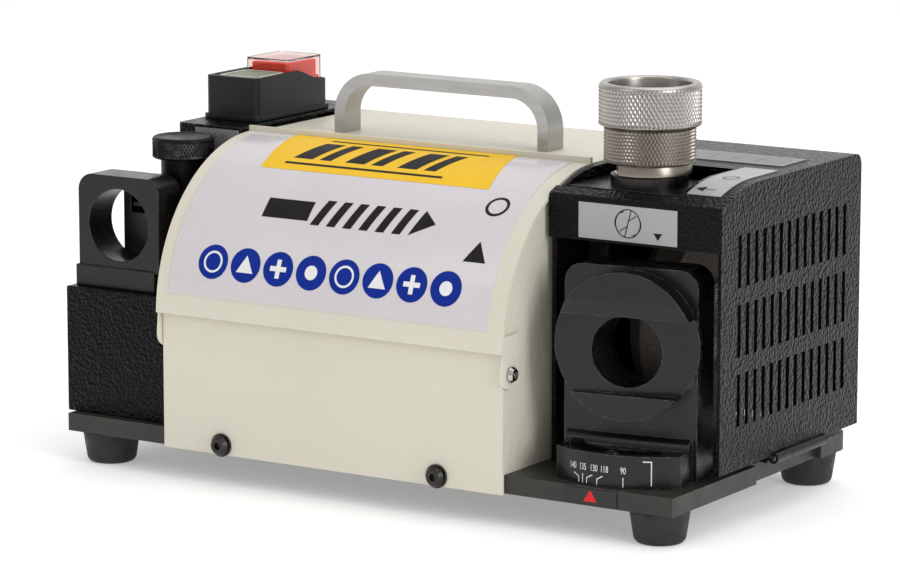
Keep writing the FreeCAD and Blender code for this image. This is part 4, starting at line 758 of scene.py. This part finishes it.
def solid_lathe(name, profile, centre, segments, knurls):
    """A turned shape that closes on its own axis."""
    mesh = lathe(name, [(max(radius, AXIS_RADIUS), z) for radius, z in profile], centre, segments, knurls)
    work = bmesh.new()
    work.from_mesh(mesh)
    bmesh.ops.remove_doubles(work, verts=work.verts, dist=MERGE_DISTANCE)
    bmesh.ops.dissolve_degenerate(work, edges=work.edges, dist=AXIS_RADIUS)
    work.to_mesh(mesh)
    work.free()
    return mesh


finish_piece(
    "adjusting_knob_look",
    solid_lathe("adjusting_knob_look", in_metres(KNOB_PROFILE), KNOB_AXIS, KNOB_TEETH * PER_TOOTH,
                [(KNOB_GRIP, KNOB_KNURL * MM, KNOB_TEETH)]),
    "knob_plastic", "knob", ["adjusting_knob"])


# ---------------------------------------------------------------- prints on the lid

LID_RADIUS = 74.3
LID_AXIS = (0.0, -10.0, 72.5)
PRINT_LIFT = 0.06
lid_face = Drum(LID_AXIS, LID_RADIUS, "X", lift=PRINT_LIFT)
mark_face = Drum(LID_AXIS, LID_RADIUS, "X", lift=0.11)
refined("lid_label", 0.05)


def lid_y(degrees):
    """Distance round the lid for an angle above its level front."""
    return math.radians(degrees) * LID_RADIUS


def yellow_band(work):
    """Coloured band near the top of the label, its ends slanted."""
    low, high = lid_y(60.5), lid_y(88.3)
    print_patch(work, lid_face, [(-72.0, low), (46.5, low), (40.0, high), (-76.0, high)], 24, 24)


def slanted_blocks(work):
    """A plain row of slanted blocks between two rules on the coloured band."""
    low, high = lid_y(67.5), lid_y(80.5)
    lean = 7.0
    first, pitch = -60.0, 13.6
    for i, width in enumerate((10.0, 6.0, 10.0, 6.0, 10.0, 6.0)):
        x = first + i * pitch
        print_patch(work, mark_face, bar(x, low, x + width, high, lean), 6, 8)
    print_patch(work, mark_face, bar(-62.0, lid_y(63.8), 20.0, lid_y(65.0)), 20, 1)
    print_patch(work, mark_face, bar(-53.0, lid_y(83.0), 29.0, lid_y(84.2)), 20, 1)


def drill_drawing(work):
    """Outline drawing of a plain twist drill: shank, spiral lands, point."""
    y = lid_y(43.0)
    half, shank_half = 6.6, 5.0
    first, pitch, width, lean = -31.0, 8.4, 4.4, 4.2
    print_patch(work, lid_face, bar(-57.0, y - shank_half, -33.0, y + shank_half), 10, 6)
    for i in range(6):
        x = first + i * pitch
        print_patch(work, lid_face, bar(x, y - half, x + width, y + half, lean), 4, 8)
    print_patch(work, lid_face, [(19.4, y - half), (31.0, y), (31.0, y), (23.6, y + half)], 6, 8)


def side_signs(work):
    """A ring and a triangle beside the drawing."""
    x, half = 56.0, 5.6
    print_disc(work, lid_face, x, lid_y(53.0), half, 4.2, 40, 2)
    y = lid_y(34.5)
    top = (x, y + 5.2)
    print_patch(work, lid_face, [(x - half, y - 4.6), (x + half, y - 4.6), top, top], 6, 6)


DISC_COUNT = 8
DISC_PITCH = 17.2
DISC_FIRST = -74.7
DISC_RADIUS = 7.7
DISC_ANGLE = 21.2


def disc_places():
    return [DISC_FIRST + i * DISC_PITCH for i in range(DISC_COUNT)]


def blue_discs(work):
    for x in disc_places():
        print_disc(work, lid_face, x, lid_y(DISC_ANGLE), DISC_RADIUS, segments=48, rings=5)


def disc_marks(work):
    """A plain shape of its own in each disc."""
    y = lid_y(DISC_ANGLE)
    for i, x in enumerate(disc_places()):
        kind = i % 4
        if kind == 0:
            print_disc(work, mark_face, x, y, 4.9, 3.9, 40, 1)
        elif kind == 1:
            top = (x, y + 4.4)
            print_patch(work, mark_face, [(x - 4.4, y - 3.4), (x + 4.4, y - 3.4), top, top])
        elif kind == 2:
            print_patch(work, mark_face, bar(x - 4.2, y - 1.1, x + 4.2, y + 1.1))
            print_patch(work, mark_face, bar(x - 1.1, y + 1.1, x + 1.1, y + 4.2))
            print_patch(work, mark_face, bar(x - 1.1, y - 4.2, x + 1.1, y - 1.1))
        else:
            print_disc(work, mark_face, x, y, 3.2, 0.0, 36, 2)


print_piece("lid_print_yellow", "print_yellow", "lid", yellow_band)
print_piece("lid_print_blocks", "print_black", "lid", slanted_blocks)
print_piece("lid_print_drill", "print_black", "lid", drill_drawing)
print_piece("lid_print_signs", "print_black", "lid", side_signs)
print_piece("lid_print_discs", "print_blue", "lid", blue_discs)
print_piece("lid_print_marks", "print_white", "lid", disc_marks)


# ---------------------------------------------------------------- angle scale and plates

FLANGE_RADIUS = 48.0
SWIVEL_AXIS = (117.0, -27.3, 0.0)
flange_face = Drum(SWIVEL_AXIS, FLANGE_RADIUS, "Z", lift=0.05)
# Each number, the angle of its tick round the flange, and how far aside the number stands.
POINT_ANGLES = (
    ("140", -10.3, -3.2), ("135", -7.8, 0.0), ("130", -5.3, 3.5), ("118", 0.7, 3.4), ("90", 14.8, 0.0),
)


def round_flange(degrees):
    """Distance round the flange's front edge for an angle to the right of straight ahead."""
    return math.radians(degrees) * FLANGE_RADIUS


def angle_scale(work):
    """Ticks for the drill point angles; leaders fan out to the numbers where the ticks stand close."""
    foot, knee, top, number_foot = 23.2, 25.4, 26.8, 28.6
    for text, degrees, aside in POINT_ANGLES:
        x = round_flange(degrees)
        print_line(work, flange_face, [(x, foot), (x, knee), (x + aside * 0.75, top)], 0.42)
        print_number(work, flange_face, text, x + aside, number_foot, 2.8)
    right = round_flange(29.0)
    print_line(work, flange_face, [(right, 24.2), (right, 34.2), (right - 3.4, 34.2)], 0.45)


pointer_face = Flat((0, -79.5, 0), (1, 0, 0), (0, 0, 1), PRINT_LIFT)


def pointer_mark(work):
    """Triangle that points up at the scale."""
    print_patch(work, pointer_face, [(113.6, 16.4), (120.2, 16.4), (116.9, 21.4), (116.9, 21.4)], 2, 2)


header_face = Flat((0, -47.6, 0), (1, 0, 0), (0, 0, 1), PRINT_LIFT)


def header_marks(work):
    """Round drill point symbol and a triangle that points down."""
    x, z = 115.5, 128.9
    print_disc(work, header_face, x, z, 6.2, 5.75, 48, 1)
    print_disc(work, header_face, x - 1.55, z + 0.2, 4.9, 4.5, 32, 1, 95.0, 130.0)
    print_disc(work, header_face, x + 1.55, z - 0.2, 4.9, 4.5, 32, 1, -85.0, 130.0)
    web = [(x - 1.5, z - 5.6), (x - 0.3, z - 1.2), (x + 0.3, z + 1.2), (x + 1.5, z + 5.6)]
    print_line(work, header_face, web, 0.45)
    print_line(work, header_face, [(x - 3.9, z - 3.4), (x - 0.3, z - 1.2)], 0.4)
    print_line(work, header_face, [(x + 3.9, z + 3.4), (x + 0.3, z + 1.2)], 0.4)
    print_patch(work, header_face, [(129.9, 122.9), (129.9, 122.9), (132.0, 126.0), (127.8, 126.0)], 2, 2)


# The plate follows the cover's crown, its own thickness above it.
CROWN_RADIUS = 80.0
crown_face = Drum((0.0, CROWN_Y, 66.9), CROWN_RADIUS, "X", lift=PRINT_LIFT)


def crown_y(y):
    """Distance up the crown's curve for a place on it, given by how far back it lies."""
    return math.acos((CROWN_Y - y) / CROWN_RADIUS) * CROWN_RADIUS


def relief_marks(work):
    """Two round drill symbols and an arrow that points at the chuck."""
    x, line = 147.0, 0.4
    for y, size in ((-16.0, 3.6), (1.0, 2.9)):
        centre = crown_y(y)
        reach = size * 0.6
        print_disc(work, crown_face, x, centre, size, size - line, 40, 1)
        print_line(work, crown_face, [(x - reach, centre - reach), (x + reach, centre + reach)], line)
    y = crown_y(-33.0)
    tip, heel, half = (139.6, y), 144.0, 2.6
    print_patch(work, crown_face, [tip, (heel, y - half), (heel, y + half), tip], 2, 2)
    print_line(work, crown_face, [(heel, y), (149.0, y)], 0.5)


THIN_LINE = 0.25
web_face = Flat((0, 0, 146.9), (1, 0, 0), (0, 1, 0), PRINT_LIFT)


def web_marks(work):
    """Ruled lines of a settings table."""
    left, right, columns = 99.0, 146.0, 4
    front, pitch, rows = 27.5, 4.6, 3
    for i in range(rows + 1):
        y = front + i * pitch
        print_line(work, web_face, [(left, y), (right, y)], THIN_LINE)
    for i in range(columns + 1):
        x = left + i * (right - left) / columns
        print_line(work, web_face, [(x, front), (x, front + rows * pitch)], THIN_LINE)


gauge_face = Flat((0, -19.0, 0), (1, 0, 0), (0, 0, 1), PRINT_LIFT)


def gauge_marks(work):
    """A ruled scale and an arrow that points down at the knob."""
    first, pitch, foot = -125.6, 1.9, 142.6
    for i in range(9):
        x = first + i * pitch
        print_line(work, gauge_face, [(x, foot), (x, 145.2 if i % 2 else 144.2)], THIN_LINE)
    tip = (-107.4, 134.2)
    print_patch(work, gauge_face, [tip, tip, (-105.0, 138.4), (-109.8, 138.4)], 2, 2)


start_face = Flat((-120.9, 16.2, 168.0), (1, 0, 0), (0, 1, 0), 0.05)


def start_edge(work):
    """Pale moulded border round the start button."""
    x, y = 10.4, 10.2
    print_line(work, start_face, [(-x, -y), (x, -y), (x, y), (-x, y), (-x, -y)], 1.0)


print_piece("start_button_border", "print_white", "start", start_edge)
print_piece("angle_scale_print", "print_white", "swivel", angle_scale)
print_piece("pointer_print", "print_red", "base", pointer_mark)
print_piece("header_print", "print_black", "wheel_cover", header_marks)
print_piece("relief_print", "print_black", "wheel_cover", relief_marks)
print_piece("web_print", "print_black", "wheel_cover", web_marks)
print_piece("gauge_print", "print_black", "base", gauge_marks)


# ---------------------------------------------------------------- stage, light and camera

VIEW_TURN = 32.6
WORLD_STRENGTH = 0.56


def stage_floor():
    """A pale floor that sweeps up into a backdrop, square to the line of sight."""
    half, front, back, height = 6.0, -4.0, 3.0, 6.0
    radius, steps = 1.5, 12
    sweep = [(front, 0.0), (back, 0.0)]
    for step in range(1, steps + 1):
        angle = math.radians(90.0 * step / steps)
        sweep.append((back + radius * math.sin(angle), radius * (1 - math.cos(angle))))
    sweep.append((back + radius, height))
    work = bmesh.new()
    rows = [
        [work.verts.new((x, y, z)) for x in (-half, half)]
        for y, z in sweep
    ]
    for low, high in zip(rows, rows[1:]):
        work.faces.new((low[0], low[1], high[1], high[0]))
    for face in work.faces:
        face.smooth = True
    mesh = bpy.data.meshes.new("studio_floor")
    work.to_mesh(mesh)
    work.free()
    floor = bpy.data.objects.new("studio_floor", mesh)
    floor.rotation_euler.z = math.radians(VIEW_TURN)
    bpy.context.scene.collection.objects.link(floor)
    shader = Shader("studio_white", (0.90, 0.90, 0.90), 0.75, Emission_Strength=0.30)
    shader.set("Emission Color", (1.0, 1.0, 1.0, 1.0))
    shader.paint(shader.mottle(0.6, 0.01))
    mesh.materials.append(shader.material)


def soft_light(name, place, target, size, watts):
    """A rectangular lamp that faces its target."""
    data = bpy.data.lights.new(name, "AREA")
    data.shape = "RECTANGLE"
    data.size, data.size_y = size
    data.energy = watts
    lamp = bpy.data.objects.new(name, data)
    lamp.location = place
    aim = Vector(target) - Vector(place)
    lamp.rotation_euler = aim.to_track_quat("-Z", "Y").to_euler()
    bpy.context.scene.collection.objects.link(lamp)


def studio_lights():
    """An even white sky with three large soft lamps."""
    world = bpy.data.worlds.new("studio_world")
    world.use_nodes = True
    sky = world.node_tree.nodes["Background"]
    sky.inputs["Color"].default_value = (1.0, 1.0, 1.0, 1.0)
    sky.inputs["Strength"].default_value = WORLD_STRENGTH
    bpy.context.scene.world = world
    bpy.context.scene.view_settings.view_transform = "Standard"
    middle = (0.0, 0.0, 0.09)
    soft_light("key_light", (-0.7, -1.5, 1.5), middle, (1.0, 0.8), 3.0)
    soft_light("top_light", (0.2, 0.3, 1.6), middle, (1.8, 1.4), 10.0)
    soft_light("right_light", (1.8, -0.5, 0.8), middle, (0.6, 1.2), 13.0)


def studio_camera():
    """A long lens from the front right, a little above the machine."""
    data = bpy.data.cameras.new("studio_camera")
    data.sensor_width = 36.0
    data.lens = 168.7
    data.shift_x = 0.0047
    camera = bpy.data.objects.new("studio_camera", data)
    camera.location = (0.9862, -1.5495, 0.4226)
    camera.rotation_euler = (math.radians(90.0 - 10.51), 0.0, math.radians(32.61))
    bpy.context.scene.collection.objects.link(camera)
    bpy.context.scene.camera = camera


stage_floor()
studio_lights()
studio_camera()
